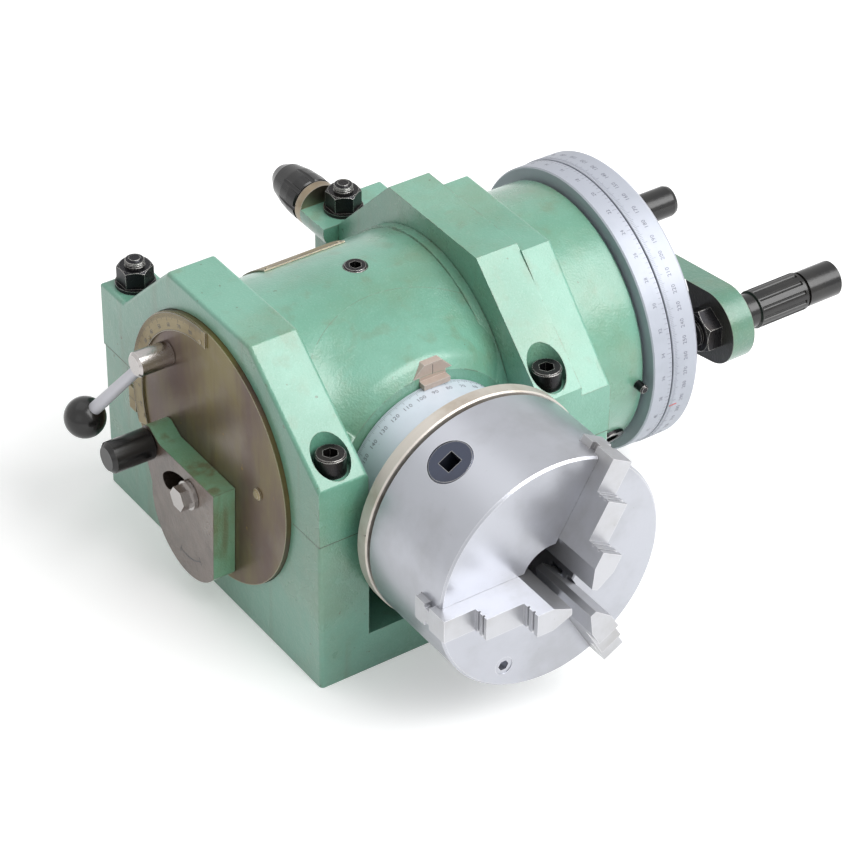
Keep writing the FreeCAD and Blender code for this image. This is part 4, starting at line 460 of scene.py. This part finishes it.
for cap in ("left_cap", "right_cap"):
    cap_low, cap_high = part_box(cap)
    level = cap_low.z
    outer = cap_low.x if cap == "left_cap" else cap_high.x
    mouth = math.sqrt(cap_bore ** 2 - (level - axis_height) ** 2)
    low, high = level - line_height / 2, level + line_height / 2
    for front, rear in ((cap_low.y, -mouth), (mouth, cap_high.y)):
        draw_strip(joint_lines, (outer - line_stand, front, low), (outer + line_stand, rear, high))
    for side in (cap_low.y, cap_high.y):
        draw_strip(joint_lines, (cap_low.x, side - line_stand, low),
                   (cap_high.x, side + line_stand, high))
joint_dirt = ink_finish("joint dirt", linear(48, 58, 48))
add_piece("joint_lines", joint_lines, joint_dirt, "base")


# Bare machined steel of the body: locating collar, rear cover, spindle nut, worm sleeve.
# Turned and oiled, and browned where the oil has dried.
oiled_steel = steel_finish("oiled steel", linear(164, 156, 140), linear(118, 96, 66), 0.3, 0.7)
dress(oiled_steel, "locate_collar", "rear_cover", "spindle_nut", "worm_sleeve")


# Left end plate.
# A turned steel disc that closes the drum; its face lies under an uneven film of brown oil,
# and its edge carries a painted highlight.
def plate_finish():
    """Dark turned steel under a thick film of yellow-brown oil; the edge is a painted highlight.
    """
    made, tree, shader = new_finish("oily end plate")
    dirt = use_group(tree, staining, (-700, -100), Cloud=9.0, Spot=120.0)
    marks = use_group(tree, turned_rings, (-700, -400), Nose=0.0, Scale=420.0)["Rings"]
    film = noise(tree, 16.0, 4.0, 0.6, (1, 1, 0.35), 9.0, (-500, 500))
    base = over(tree, window(tree, film, 0.36, 0.66, (-200, 500)), linear(88, 66, 56),
                linear(116, 104, 56), (100, 400))
    base = over(tree, sum_of(tree, "MULTIPLY", dirt["Clouds"], 0.6, (0, 200)), base,
                linear(112, 98, 94), (250, 350))
    base = over(tree, sum_of(tree, "MULTIPLY", dirt["Runs"], 0.5, (0, 50)), base,
                linear(76, 46, 34), (400, 300))
    base = over(tree, dirt["Spots"], base, linear(140, 108, 48), (550, 300))
    # The pale clean edge is a painted highlight.
    wear_and_highlight = use_group(tree, edge_wear_and_highlight, (-700, 700), Width=0.0012)
    base = over(tree, sum_of(tree, "MULTIPLY", wear_and_highlight["Edge"], 0.6, (600, 500)), base,
                linear(206, 204, 176), (700, 300))
    feed(tree, base, shader.inputs["Base Color"])
    shader.inputs["Metallic"].default_value = 0.7
    change = sum_of(tree, "MULTIPLY", dirt["Clouds"], -0.15, (200, -100))
    feed(tree, sum_of(tree, "ADD", change, 0.46, (400, -100), True), shader.inputs["Roughness"])
    shader.inputs["Coat Weight"].default_value = 0.35
    shader.inputs["Coat Roughness"].default_value = 0.25
    bumped(tree, shader, marks, 0.0001, 0.5)
    return made


end_plate_oil = plate_finish()
dress(end_plate_oil, "end_plate")


# Brass angle scale on the end plate, with its index on the base.
# An etched brass strip, tarnished to a dull cream and held by three rivets, with one mark for
# each degree; a small brass block on the base shows the tilt.
def font_figures(text, height):
    """Corners and faces of a figure in the built-in type, centred, as thick as an etching."""
    key = (text, height)
    if key not in figure_store:
        words = bpy.data.curves.new("figure", "FONT")
        words.body = text
        words.size = height * 1.35
        words.align_x = "CENTER"
        words.align_y = "CENTER"
        words.resolution_u = 2
        words.extrude = etch_depth
        words.space_character = 1.05
        holder = bpy.data.objects.new("figure", words)
        sheet = bpy.data.meshes.new_from_object(holder)
        corners = [tuple(v.co) for v in sheet.vertices]
        figure_store[key] = (corners, [tuple(f.vertices) for f in sheet.polygons])
        bpy.data.objects.remove(holder)
        bpy.data.curves.remove(words)
        bpy.data.meshes.remove(sheet)
    return figure_store[key]


def etch(shape, marks, place):
    """Marks and figures laid on a surface; place maps across, along, height to the model.

    A mark is (turn, start, end, width), a figure (turn, middle, height, text)."""
    for turn, first, second, last in marks:
        if isinstance(last, str):
            corners, faces = font_figures(last, second)
            corners = [(x, first + y, z) for x, y, z in corners]
        else:
            half = last / 2
            flat = ((-half, first), (half, first), (half, second), (-half, second))
            corners = [(x, y, z) for z in (-etch_depth, etch_depth) for x, y in flat]
            faces = [(3, 2, 1, 0), (4, 5, 6, 7), (0, 1, 5, 4), (1, 2, 6, 5), (2, 3, 7, 6),
                     (3, 0, 4, 7)]
        made = [shape.verts.new(place(turn, *corner)) for corner in corners]
        for face in faces:
            shape.faces.new([made[i] for i in face])


figure_store = {}
etch_depth = 0.00006
dark_ink = ink_finish("dark ink", linear(66, 66, 72))
brass = steel_finish("tarnished brass", linear(146, 134, 104), linear(106, 90, 60), 0.36, 0.8,
                     metallic=0.75)
dress(brass, "angle_index", "angle_scale", "grease_plug", "name_plate")

scale_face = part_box("angle_scale")[0].x
scale_inner, scale_outer = 0.088, 0.1015
scale_start, scale_end = -19.2, 91.2
mark_end = scale_outer - 0.0008
scale_marks = []
for degree in range(-17, 90):
    reach = 0.0055 if degree % 10 == 0 else 0.0042 if degree % 5 == 0 else 0.003
    scale_marks.append((math.radians(degree), mark_end - reach, mark_end, 0.00028))
    if degree % 10 == 0:
        scale_marks.append((math.radians(degree), scale_inner + 0.0042, 0.0034,
                            str(abs(degree))))


def on_scale(turn, across, along, height):
    """A point of the angle scale's face: along is from the drum's axis outwards."""
    angle = turn + across / along
    return (scale_face - height, along * math.cos(angle), axis_height + along * math.sin(angle))


scale_etching = bmesh.new()
etch(scale_etching, scale_marks, on_scale)
border_steps, border_half_width = 56, 0.00015
border_step = math.radians(scale_end - scale_start) / border_steps
for ring in (scale_inner + 0.0006, scale_outer - 0.0004):
    for step in range(border_steps):
        middle = math.radians(scale_start) + border_step * (step + 0.5)
        etch(scale_etching, [(middle, ring - border_half_width, ring + border_half_width,
                              border_step * ring)], on_scale)
add_piece("angle_scale_marks", scale_etching, dark_ink, "swivel")

rivets = bmesh.new()
rivet_reach = 0.0905
rivet_profile = [(0.0017, -0.0002), (0.0017, 0.0003), (0.0012, 0.0008), (0.0004, 0.001)]
for turn in (-15.5, 35.0, 88.0):
    lathe(rivets, rivet_profile,
          lambda x, y, z, middle=math.radians(turn): on_scale(middle, x, rivet_reach + y, z), 16)
add_piece("angle_scale_rivets", rivets, brass, "swivel")
index_low, index_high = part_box("angle_index")
index_line = bmesh.new()
index_middle = (index_low.z + index_high.z) / 2
etch(index_line, [(0.0, index_low.y, index_high.y, 0.0004)],
     lambda turn, across, along, height: (index_low.x - height, along, index_middle + across))
add_piece("angle_index_line", index_line, dark_ink, "base")


# Worm throw-out lever, its handle, and the clamp bolt in its arc slot.
# Cast and enamelled, with a bare machined outer face that has browned under oil; the plated
# bolt clamps it to the end plate.
pivot_y, pivot_z = 0.004, 0.065
lever_slot = (pivot_y, pivot_z, 0.0238, 0.0392, 0.0325)
lever_tones = (linear(106, 90, 80), linear(124, 110, 98), linear(80, 66, 56))
lever_enamel = enamel_finish("lever enamel", linear(104, 154, 118), linear(128, 176, 144), 0.7,
                             1.0, lever_tones, lever_slot)
dress(lever_enamel, "worm_lever")
bright_metal = steel_finish("bright plated steel", linear(182, 178, 176), linear(128, 118, 106),
                            0.12, 0.3)
dress(bright_metal, "lock_hub", "clamp_bolt")
lever_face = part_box("worm_lever")[0].x
lever_etching = bmesh.new()
arc_radius, arc_start, arc_end, arc_steps = 0.03, -128.0, -74.0, 18


def on_lever(turn, across, along, height):
    """A point of the worm lever's outer face: along is from the lever's pivot."""
    angle = turn + across / max(along, 0.001)
    return (lever_face - height, pivot_y + along * math.cos(angle),
            pivot_z + along * math.sin(angle))


arc_step = math.radians(arc_end - arc_start) / arc_steps
for step in range(arc_steps):
    etch(lever_etching, [(math.radians(arc_start) + arc_step * (step + 0.5),
                          arc_radius - 0.0004, arc_radius + 0.0004, arc_step * arc_radius)],
         on_lever)
for turn in (arc_start, arc_end):
    etch(lever_etching, [(math.radians(turn), arc_radius - 0.003, arc_radius + 0.003, 0.0008)],
         on_lever)
add_piece("worm_lever_marks", lever_etching, dark_ink, "worm_lever")


# Moulded black grips: handles, the lever's ball and the two fluted knobs.
# Glossy phenolic resin, dulled by hands and screwed or pinned to steel.
def resin_finish():
    """Glossy black resin, matt where hands have rubbed it and grey at worn edges."""
    made, tree, shader = new_finish("black resin")
    wear_and_highlight = use_group(tree, edge_wear_and_highlight, (-700, 300), Width=0.0007, Amount=0.6, Patch=200.0)
    dirt = use_group(tree, staining, (-700, -100), Cloud=30.0)
    base = over(tree, dirt["Clouds"], linear(17, 17, 18), linear(29, 28, 27), (200, 200))
    base = over(tree, sum_of(tree, "MULTIPLY", wear_and_highlight["Worn"], 0.5, (200, 50)), base,
                linear(70, 68, 64), (400, 200))
    feed(tree, base, shader.inputs["Base Color"])
    change = sum_of(tree, "MULTIPLY", dirt["Fine"], 0.16, (200, -100))
    feed(tree, sum_of(tree, "ADD", change, 0.14, (400, -100)), shader.inputs["Roughness"])
    bumped(tree, shader, dirt["Fine"], 0.00005, 0.5)
    return made


resin = resin_finish()
dress(resin, "locate_knob", "worm_lever_grip", "lock_ball", "plunger_grip", "crank_handle")


# Spindle lock lever.
# Plated hub on its stem, with a light grey rod that tapers and ends in the ball.
rod_metal = steel_finish("matt grey rod", linear(196, 196, 202), linear(168, 162, 156), 0.42,
                         0.25, metallic=0.55)
dress(rod_metal, "lock_rod")


# Flare of the drum's front boss.
# Above the spindle the casting runs smoothly from the barrel into the ring behind the direct
# dial; it is part of the drum and carries the same enamel.
flare_left, flare_right = -0.0745, 0.068
barrel_skin = 0.10508
boss_rim = ((0.0741, 0.0971), (0.0840, 0.0913))
rim_round, rim_lap, flare_sink = 0.005, 0.0012, 0.004
flare_start, flare_end, flare_steps = 34, 146, 96


def towards(near, far, share):
    """The point at a share of the way from one point to another."""
    return tuple(a + (b - a) * share for a, b in zip(near, far))


def flare_section(turn):
    """The flare's section at a turn round the spindle, as (radius, forward reach).

    It runs from the boss's face over a rounded rim, then straight on till it touches the
    barrel, and closes inside the casting."""
    lean = abs(math.sin(turn))
    rim = [point for point in boss_rim if math.hypot(point[0] * lean, point[1]) > barrel_skin]
    if not rim:
        rim = [(math.sqrt(barrel_skin ** 2 - boss_rim[0][1] ** 2) / lean, boss_rim[0][1])]
    start, crest = rim[0], rim[-1]
    away = math.hypot(crest[0] * lean, crest[1])
    meet = math.atan2(crest[1], crest[0] * lean) - math.acos(min(1.0, barrel_skin / away))
    end = (barrel_skin * math.cos(meet) / lean, barrel_skin * math.sin(meet))
    first = last = start
    if len(rim) > 1:
        rise, run = math.dist(start, crest), math.dist(crest, end)
        back_off = min(rim_round, rise * 0.6, run * 0.4)
        first, last = towards(crest, start, back_off / rise), towards(crest, end, back_off / run)
    points = [(start[0] - rim_lap, start[1] - 0.001), start]
    for step in range(6):
        share = step / 5
        points.append(towards(towards(first, crest, share), towards(crest, last, share), share))
    points += [towards(last, end, step / 6) for step in range(1, 7)]
    points.append(towards(end, (0, 0), flare_sink / barrel_skin))
    points.append((start[0] - rim_lap, (points[-1][1] + start[1]) / 2 - 0.01))
    return points


flare_shape = bmesh.new()
flare_rows = []
for step in range(flare_steps + 1):
    turn = math.radians(flare_start + (flare_end - flare_start) * step / flare_steps)
    flare_rows.append([flare_shape.verts.new((reach * math.cos(turn), -depth,
                                              axis_height + reach * math.sin(turn)))
                       for reach, depth in flare_section(turn)])
for row, after in zip(flare_rows, flare_rows[1:]):
    for i in range(len(row)):
        j = (i + 1) % len(row)
        face = flare_shape.faces.new((row[i], after[i], after[j], row[j]))
        face.smooth = 1 <= i < len(row) - 3
flare_shape.faces.new(list(flare_rows[0]))
flare_shape.faces.new(list(reversed(flare_rows[-1])))
for side, way in ((flare_left, -1), (flare_right, 1)):
    kept = flare_shape.verts[:] + flare_shape.edges[:] + flare_shape.faces[:]
    cut = bmesh.ops.bisect_plane(flare_shape, geom=kept, plane_co=(side, 0, 0),
                                 plane_no=(way, 0, 0), clear_outer=True)["geom_cut"]
    bmesh.ops.holes_fill(flare_shape, edges=[e for e in cut if isinstance(e, bmesh.types.BMEdge)])
bmesh.ops.recalc_face_normals(flare_shape, faces=flare_shape.faces)
for edge in flare_shape.edges:
    edge.smooth = all(face.smooth for face in edge.link_faces)
add_piece("boss_flare", flare_shape, enamel, "swivel")


# Bare name plate, zero mark and oil sight of the drum and the gear case.
# The brass plate is held by four drive screws, the sight is screwed in, and the mark stands
# over the direct dial.
mark_metal = steel_finish("browned zero mark", linear(178, 164, 154), linear(150, 122, 110), 0.5,
                          0.6, metallic=0.35)
dress(mark_metal, "index_mark")
plate_low, plate_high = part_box("name_plate")
drum_radius = 0.10525
plate_thickness = 0.001


def on_drum(turn, across, along, height):
    """A point of the drum's barrel: turn is from the rear upwards, along is on the axis."""
    radius = drum_radius + plate_thickness + height
    angle = turn + across / radius
    return (along, radius * math.cos(angle), axis_height + radius * math.sin(angle))


plate_screws = bmesh.new()
plate_border = bmesh.new()
plate_start = math.atan2(plate_low.z - axis_height, plate_high.y)
plate_end = math.atan2(plate_high.z - axis_height, plate_low.y)
screw_inset, screw_turn_inset = 0.004, 0.035
border_inset, border_turn_inset, border_width, border_parts = 0.0016, 0.015, 0.0006, 24
screw_profile = [(0.0015, -0.0003), (0.0015, 0.0004), (0.0009, 0.0009), (0.0003, 0.001)]
for turn in (plate_start + screw_turn_inset, plate_end - screw_turn_inset):
    for middle in (plate_low.x + screw_inset, plate_high.x - screw_inset):
        lathe(plate_screws, screw_profile,
              lambda x, y, z, turn=turn, middle=middle: on_drum(turn, x, middle + y, z), 16)
border_start, border_end = plate_start + border_turn_inset, plate_end - border_turn_inset
border_left, border_right = plate_low.x + border_inset, plate_high.x - border_inset
part_turn = (border_end - border_start) / border_parts
part_overlap = 1.02
for middle in (border_left, border_right):
    for step in range(border_parts):
        etch(plate_border, [(border_start + part_turn * (step + 0.5), middle - border_width / 2,
                             middle + border_width / 2, part_turn * drum_radius * part_overlap)],
             on_drum)
for turn in (border_start, border_end):
    etch(plate_border, [(turn, border_left, border_right, border_width)], on_drum)
add_piece("name_plate_screws", plate_screws, brass, "swivel")
add_piece("name_plate_border", plate_border, dark_ink, "swivel")
dress(black_steel, "oil_sight")

mark_low, mark_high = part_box("index_mark")
mark_line = bmesh.new()
mark_x = (mark_low.x + mark_high.x) / 2
mark_face = -0.097
etch(mark_line, [(mark_x, mark_high.z - 0.0095, mark_high.z - 0.0015, 0.0005)],
     lambda turn, across, along, height: (turn + across, mark_face - height, along))
add_piece("zero_mark_line", mark_line, dark_ink, "swivel")


# Fixed dial and index plate on the gear case.
# Two aluminium rings, satin grey, with fine etched marks filled with dark paint; the index
# plate carries circles of holes in its outer face, drawn as thin dark discs of painted shade.
def dial_finish(name, pale, dull, nose):
    """Satin dial metal: fine turned marks, faint finger marks and small dark nicks.

    Its clean edges carry a painted highlight.
    """
    made, tree, shader = new_finish(name)
    wear_and_highlight = use_group(tree, edge_wear_and_highlight, (-700, 300), Width=0.0007)
    dirt = use_group(tree, staining, (-700, -100), Cloud=18.0, Spot=420.0)
    marks = use_group(tree, turned_rings, (-700, -400), Nose=nose, Scale=1500.0)["Rings"]
    base = over(tree, sum_of(tree, "MULTIPLY", dirt["Clouds"], 0.6, (0, 0)), pale, dull,
                (200, 300))
    base = over(tree, sum_of(tree, "MULTIPLY", dirt["Spots"], 0.35, (0, -200)), base,
                linear(122, 124, 132), (400, 250))
    # Paler clean edges: a painted highlight.
    base = over(tree, sum_of(tree, "MULTIPLY", wear_and_highlight["Edge"], 0.5, (450, 100)), base,
                linear(222, 222, 228), (600, 250))
    feed(tree, base, shader.inputs["Base Color"])
    shader.inputs["Metallic"].default_value = 0.25
    change = sum_of(tree, "MULTIPLY", marks, 0.2, (200, -100))
    feed(tree, sum_of(tree, "ADD", change, 0.36, (400, -100), True), shader.inputs["Roughness"])
    bumped(tree, shader, marks, 0.00005, 0.5)
    return made


dial_metal = dial_finish("satin dial metal", linear(168, 172, 182), linear(152, 157, 166), 0.0)
dress(dial_metal, "fixed_dial", "index_plate")
fixed_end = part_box("fixed_dial")[1].x
disc_low, disc_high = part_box("index_plate")
fixed_radius, index_radius = 0.1106, 0.1112
fine_mark = 0.00022


def on_dial(radius):
    """Places on a dial's rim: turn is from the rear upwards, along is on the axis."""
    def place(turn, across, along, height):
        angle = turn - across / radius
        reach = radius + height
        return (-along, reach * math.cos(angle), axis_height + reach * math.sin(angle))
    return place


dial_ink = ink_finish("grey ink", linear(104, 106, 118))
index_first = -disc_low.x - 0.0008
index_marks = []
for step in range(540):
    turn = math.radians(step / 1.5)
    length = 0.0046 if step % 10 == 0 else 0.0036 if step % 5 == 0 else 0.0024
    index_marks.append((turn, index_first - length, index_first, fine_mark))
    if step % 10 == 0:
        index_marks.append((turn, index_first - 0.01, 0.0034, str(step)))
index_etching = bmesh.new()
etch(index_etching, index_marks, on_dial(index_radius))
add_piece("index_plate_marks", index_etching, dial_ink, "swivel")

fixed_first = -fixed_end + 0.0014
fixed_marks = []
for step in range(180):
    turn = math.radians(step * 2.0)
    length = 0.004 if step % 5 == 0 else 0.0026
    fixed_marks.append((turn, fixed_first, fixed_first + length, fine_mark))
    if step % 5 == 0:
        fixed_marks.append((turn, fixed_first + 0.0072, 0.003, str(step // 5 * 2)))
fixed_etching = bmesh.new()
etch(fixed_etching, fixed_marks, on_dial(fixed_radius))
add_piece("fixed_dial_marks", fixed_etching, dial_ink, "swivel")
red_ink = ink_finish("red ink", linear(190, 60, 56))
red_mark = bmesh.new()
etch(red_mark, [(math.radians(196), index_first - 0.0067, index_first, 0.0012)],
     on_dial(index_radius))
add_piece("index_plate_red_mark", red_mark, red_ink, "swivel")

# Thin near-black discs on the plate's face stand for the holes' insides: painted shade.
hole_painted_shade = ink_finish("painted hole shade", linear(34, 34, 38))
plate_holes = bmesh.new()
hole_circles = ((0.0885, 43), (0.0805, 41), (0.0725, 37), (0.0645, 31), (0.0565, 27))
hole_profile = [(0.0016, -0.0002), (0.0016, 0.00004), (0.0012, 0.00006), (0.0002, 0.00007)]
for radius, count in hole_circles:
    for step in range(count):
        turn = 2 * math.pi * step / count
        lathe(plate_holes, hole_profile,
              lambda x, y, z, turn=turn, radius=radius: (
                  disc_high.x + z, radius * math.cos(turn) + x,
                  axis_height + radius * math.sin(turn) + y), 14)
add_piece("index_plate_holes", plate_holes, hole_painted_shade, "swivel")


# Direct dial on the spindle.
# An aluminium ring behind the chuck's adapter, numbered every ten degrees round the nose and
# held by small set screws.
ring_metal = dial_finish("blue-grey dial metal", linear(206, 214, 224), linear(188, 199, 208),
                         1.0)
dress(ring_metal, "direct_dial")
ring_low, ring_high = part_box("direct_dial")
ring_radius = ring_high.x


def on_ring(turn, across, along, height):
    """A point of the direct dial's rim: turn is from the right upwards, along is rearwards."""
    angle = turn - across / ring_radius
    reach = ring_radius + height
    return (reach * math.cos(angle), along, axis_height + reach * math.sin(angle))


ring_first = ring_high.y - 0.0014
ring_marks = []
for step in range(360):
    turn = math.radians(step)
    length = 0.0048 if step % 10 == 0 else 0.0038 if step % 5 == 0 else 0.0026
    ring_marks.append((turn, ring_first - length, ring_first, fine_mark))
    if step % 10 == 0:
        ring_marks.append((turn, ring_first - 0.0091, 0.0036, str(step)))
ring_etching = bmesh.new()
etch(ring_etching, ring_marks, on_ring)
add_piece("direct_dial_marks", ring_etching, dial_ink, "spindle")
set_screws = bmesh.new()
set_screw_y = ring_low.y + 0.0065
set_screw_profile = [(0.0026, -0.0004), (0.0026, 0.00012), (0.0021, 0.00016), (0.0004, 0.00018)]
for turn in (72, 86, 198, 318):
    lathe(set_screws, set_screw_profile,
          lambda x, y, z, middle=math.radians(turn): on_ring(middle, x, set_screw_y + y, z), 18)
add_piece("direct_dial_set_screws", set_screws, black_steel, "spindle")


# Three-jaw chuck on its adapter, and the steel and bronze parts inside the head.
# Ground and polished steel, bolted to a turned adapter that has browned; the bearings, bushes
# and the worm wheel are bronze.
def ground_finish(name, pale, dull, nose, rings, rough):
    """Ground steel: very fine tool marks, faint clouding and a few nicks.

    Its clean edges carry a painted highlight.
    """
    made, tree, shader = new_finish(name)
    wear_and_highlight = use_group(tree, edge_wear_and_highlight, (-700, 300), Width=0.0009)
    dirt = use_group(tree, staining, (-700, -100), Cloud=13.0, Spot=330.0)
    marks = use_group(tree, turned_rings, (-700, -400), Nose=nose, Scale=rings)["Rings"]
    base = over(tree, sum_of(tree, "MULTIPLY", dirt["Clouds"], 0.7, (0, 0)), pale, dull,
                (200, 300))
    base = over(tree, sum_of(tree, "MULTIPLY", dirt["Spots"], 0.22, (0, -200)), base,
                linear(128, 124, 120), (400, 250))
    # Paler clean edges: a painted highlight.
    base = over(tree, sum_of(tree, "MULTIPLY", wear_and_highlight["Edge"], 0.45, (450, 100)), base,
                linear(236, 236, 238), (600, 250))
    feed(tree, base, shader.inputs["Base Color"])
    shader.inputs["Metallic"].default_value = 0.9
    change = sum_of(tree, "MULTIPLY", marks, 0.16, (200, -100))
    feed(tree, sum_of(tree, "ADD", change, rough, (400, -100), True), shader.inputs["Roughness"])
    bumped(tree, shader, marks, 0.00004, 0.5)
    return made


chuck_steel = ground_finish("ground chuck steel", linear(178, 180, 187), linear(158, 159, 163),
                            1.0, 1300.0, 0.24)
dress(chuck_steel, "chuck_body", "chuck_face_screw", "scroll")
jaw_steel = ground_finish("ground jaw steel", linear(184, 185, 189), linear(158, 156, 154),
                          1.0, 700.0, 0.3)
dress(jaw_steel, "jaw_1", "jaw_2", "jaw_3")
ground_steel = ground_finish("ground steel", linear(200, 200, 200), linear(160, 150, 136), 0.0,
                             900.0, 0.3)
dress(ground_steel, "spindle", "worm", "worm_gear", "crank_gear", "crank_shaft", "handle_pin",
      "index_pin", "locate_pin", "sector_arm_1", "sector_arm_2")
adapter_metal = steel_finish("browned adapter", linear(196, 190, 182), linear(142, 124, 100), 0.36,
                             0.7, nose=1.0, metallic=0.7)
dress(adapter_metal, "chuck_adapter", "chuck_cover")
bronze = steel_finish("bearing bronze", linear(176, 142, 92), linear(120, 90, 54), 0.34, 0.5)
dress(bronze, "spindle_bearings", "crank_bushes", "worm_wheel", "worm_bushes")


# Index crank arm.
# Enamelled casting on the crank shaft; its enamel is painted darker and its inner face near
# black, both painted shade. It carries the plunger at one end and the plain handle at the other.
# A darker copy of the sea-green enamel, near black on faces towards -X: painted shade.
arm_enamel_with_painted_shade = enamel_finish("crank enamel with painted shade", linear(62, 108, 88), linear(78, 124, 104), 0.6, 0.5,
                           (linear(42, 42, 38), linear(58, 54, 46), linear(30, 30, 28)))
dress(arm_enamel_with_painted_shade, "crank_arm")


# Floor and lights.
# A pale floor that the head stands on, three soft lamps and a white surround.
def seen_directly(tree, place):
    """1 for what the camera sees straight, in a reflection or through glass."""
    path = put(tree, "ShaderNodeLightPath", place)
    seen = sum_of(tree, "ADD", path.outputs["Is Camera Ray"], path.outputs["Is Glossy Ray"],
                  (place[0] + 200, place[1]), True)
    return sum_of(tree, "ADD", seen, path.outputs["Is Transmission Ray"],
                  (place[0] + 400, place[1]), True)


def build_floor():
    """A wide pale floor that takes the head's shadow, lifted towards white where it is seen."""
    sheet = bpy.data.meshes.new("floor")
    size = 6.0
    sheet.from_pydata([(-size, -size, 0), (size, -size, 0), (size, size, 0), (-size, size, 0)],
                      [], [(0, 1, 2, 3)])
    floor = bpy.data.objects.new("floor", sheet)
    bpy.context.scene.collection.objects.link(floor)
    made, tree, shader = new_finish("pale floor")
    shader.inputs["Base Color"].default_value = (0.88, 0.88, 0.88, 1)
    shader.inputs["Roughness"].default_value = 0.9
    shader.inputs["Emission Color"].default_value = (1, 1, 1, 1)
    glow = sum_of(tree, "MULTIPLY", seen_directly(tree, (-600, -300)), 0.3, (100, -300))
    feed(tree, glow, shader.inputs["Emission Strength"])
    sheet.materials.append(made)
    floor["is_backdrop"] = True


def add_lamp(name, place, size, power):
    """A square soft lamp that looks at the head."""
    aim = Vector((0, 0, 0.1))
    lamp = bpy.data.lights.new(name, "AREA")
    lamp.shape = "SQUARE"
    lamp.size = size
    lamp.energy = power
    holder = bpy.data.objects.new(name, lamp)
    bpy.context.scene.collection.objects.link(holder)
    holder.location = place
    holder.rotation_euler = (aim - holder.location).to_track_quat("-Z", "Y").to_euler()
    holder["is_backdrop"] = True


build_floor()
add_lamp("key lamp", (0.9, -1.45, 1.95), 2.2, 82)
add_lamp("top lamp", (-0.4, 0.8, 2.4), 2.0, 7)
add_lamp("side lamp", (-2.2, -0.8, 1.2), 1.4, 2)
world = bpy.data.worlds.new("studio")
bpy.context.scene.world = world
world.use_nodes = True
surround = world.node_tree.nodes["Background"]
surround.inputs["Color"].default_value = (1, 1, 1, 1)
lighting_strength = 0.44
extra = sum_of(world.node_tree, "MULTIPLY", seen_directly(world.node_tree, (-900, 0)),
               1 - lighting_strength, (-300, 0))
feed(world.node_tree, sum_of(world.node_tree, "ADD", extra, lighting_strength, (-150, 0)),
     surround.inputs["Strength"])


# The photograph's viewpoint.
# A pin-hole camera fitted to measured points of the photograph.
camera_data = bpy.data.cameras.new("photograph")
camera_data.sensor_width = 36.0
camera_data.lens = 152.05
camera_data.clip_end = 20.0
camera = bpy.data.objects.new("photograph", camera_data)
bpy.context.scene.collection.objects.link(camera)
right = Vector((0.82737, -0.56162, 0.00601))
up = Vector((0.33102, 0.49624, 0.80260))
back = Vector((-0.45374, -0.66206, 0.59648))
stand = Vector((-1.13009, -1.74442, 1.64132))
camera.matrix_world = Matrix.Translation(stand) @ Matrix((right, up, back)).transposed().to_4x4()
bpy.context.scene.camera = camera
bpy.context.scene.view_settings.view_transform = "Standard"

low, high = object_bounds()
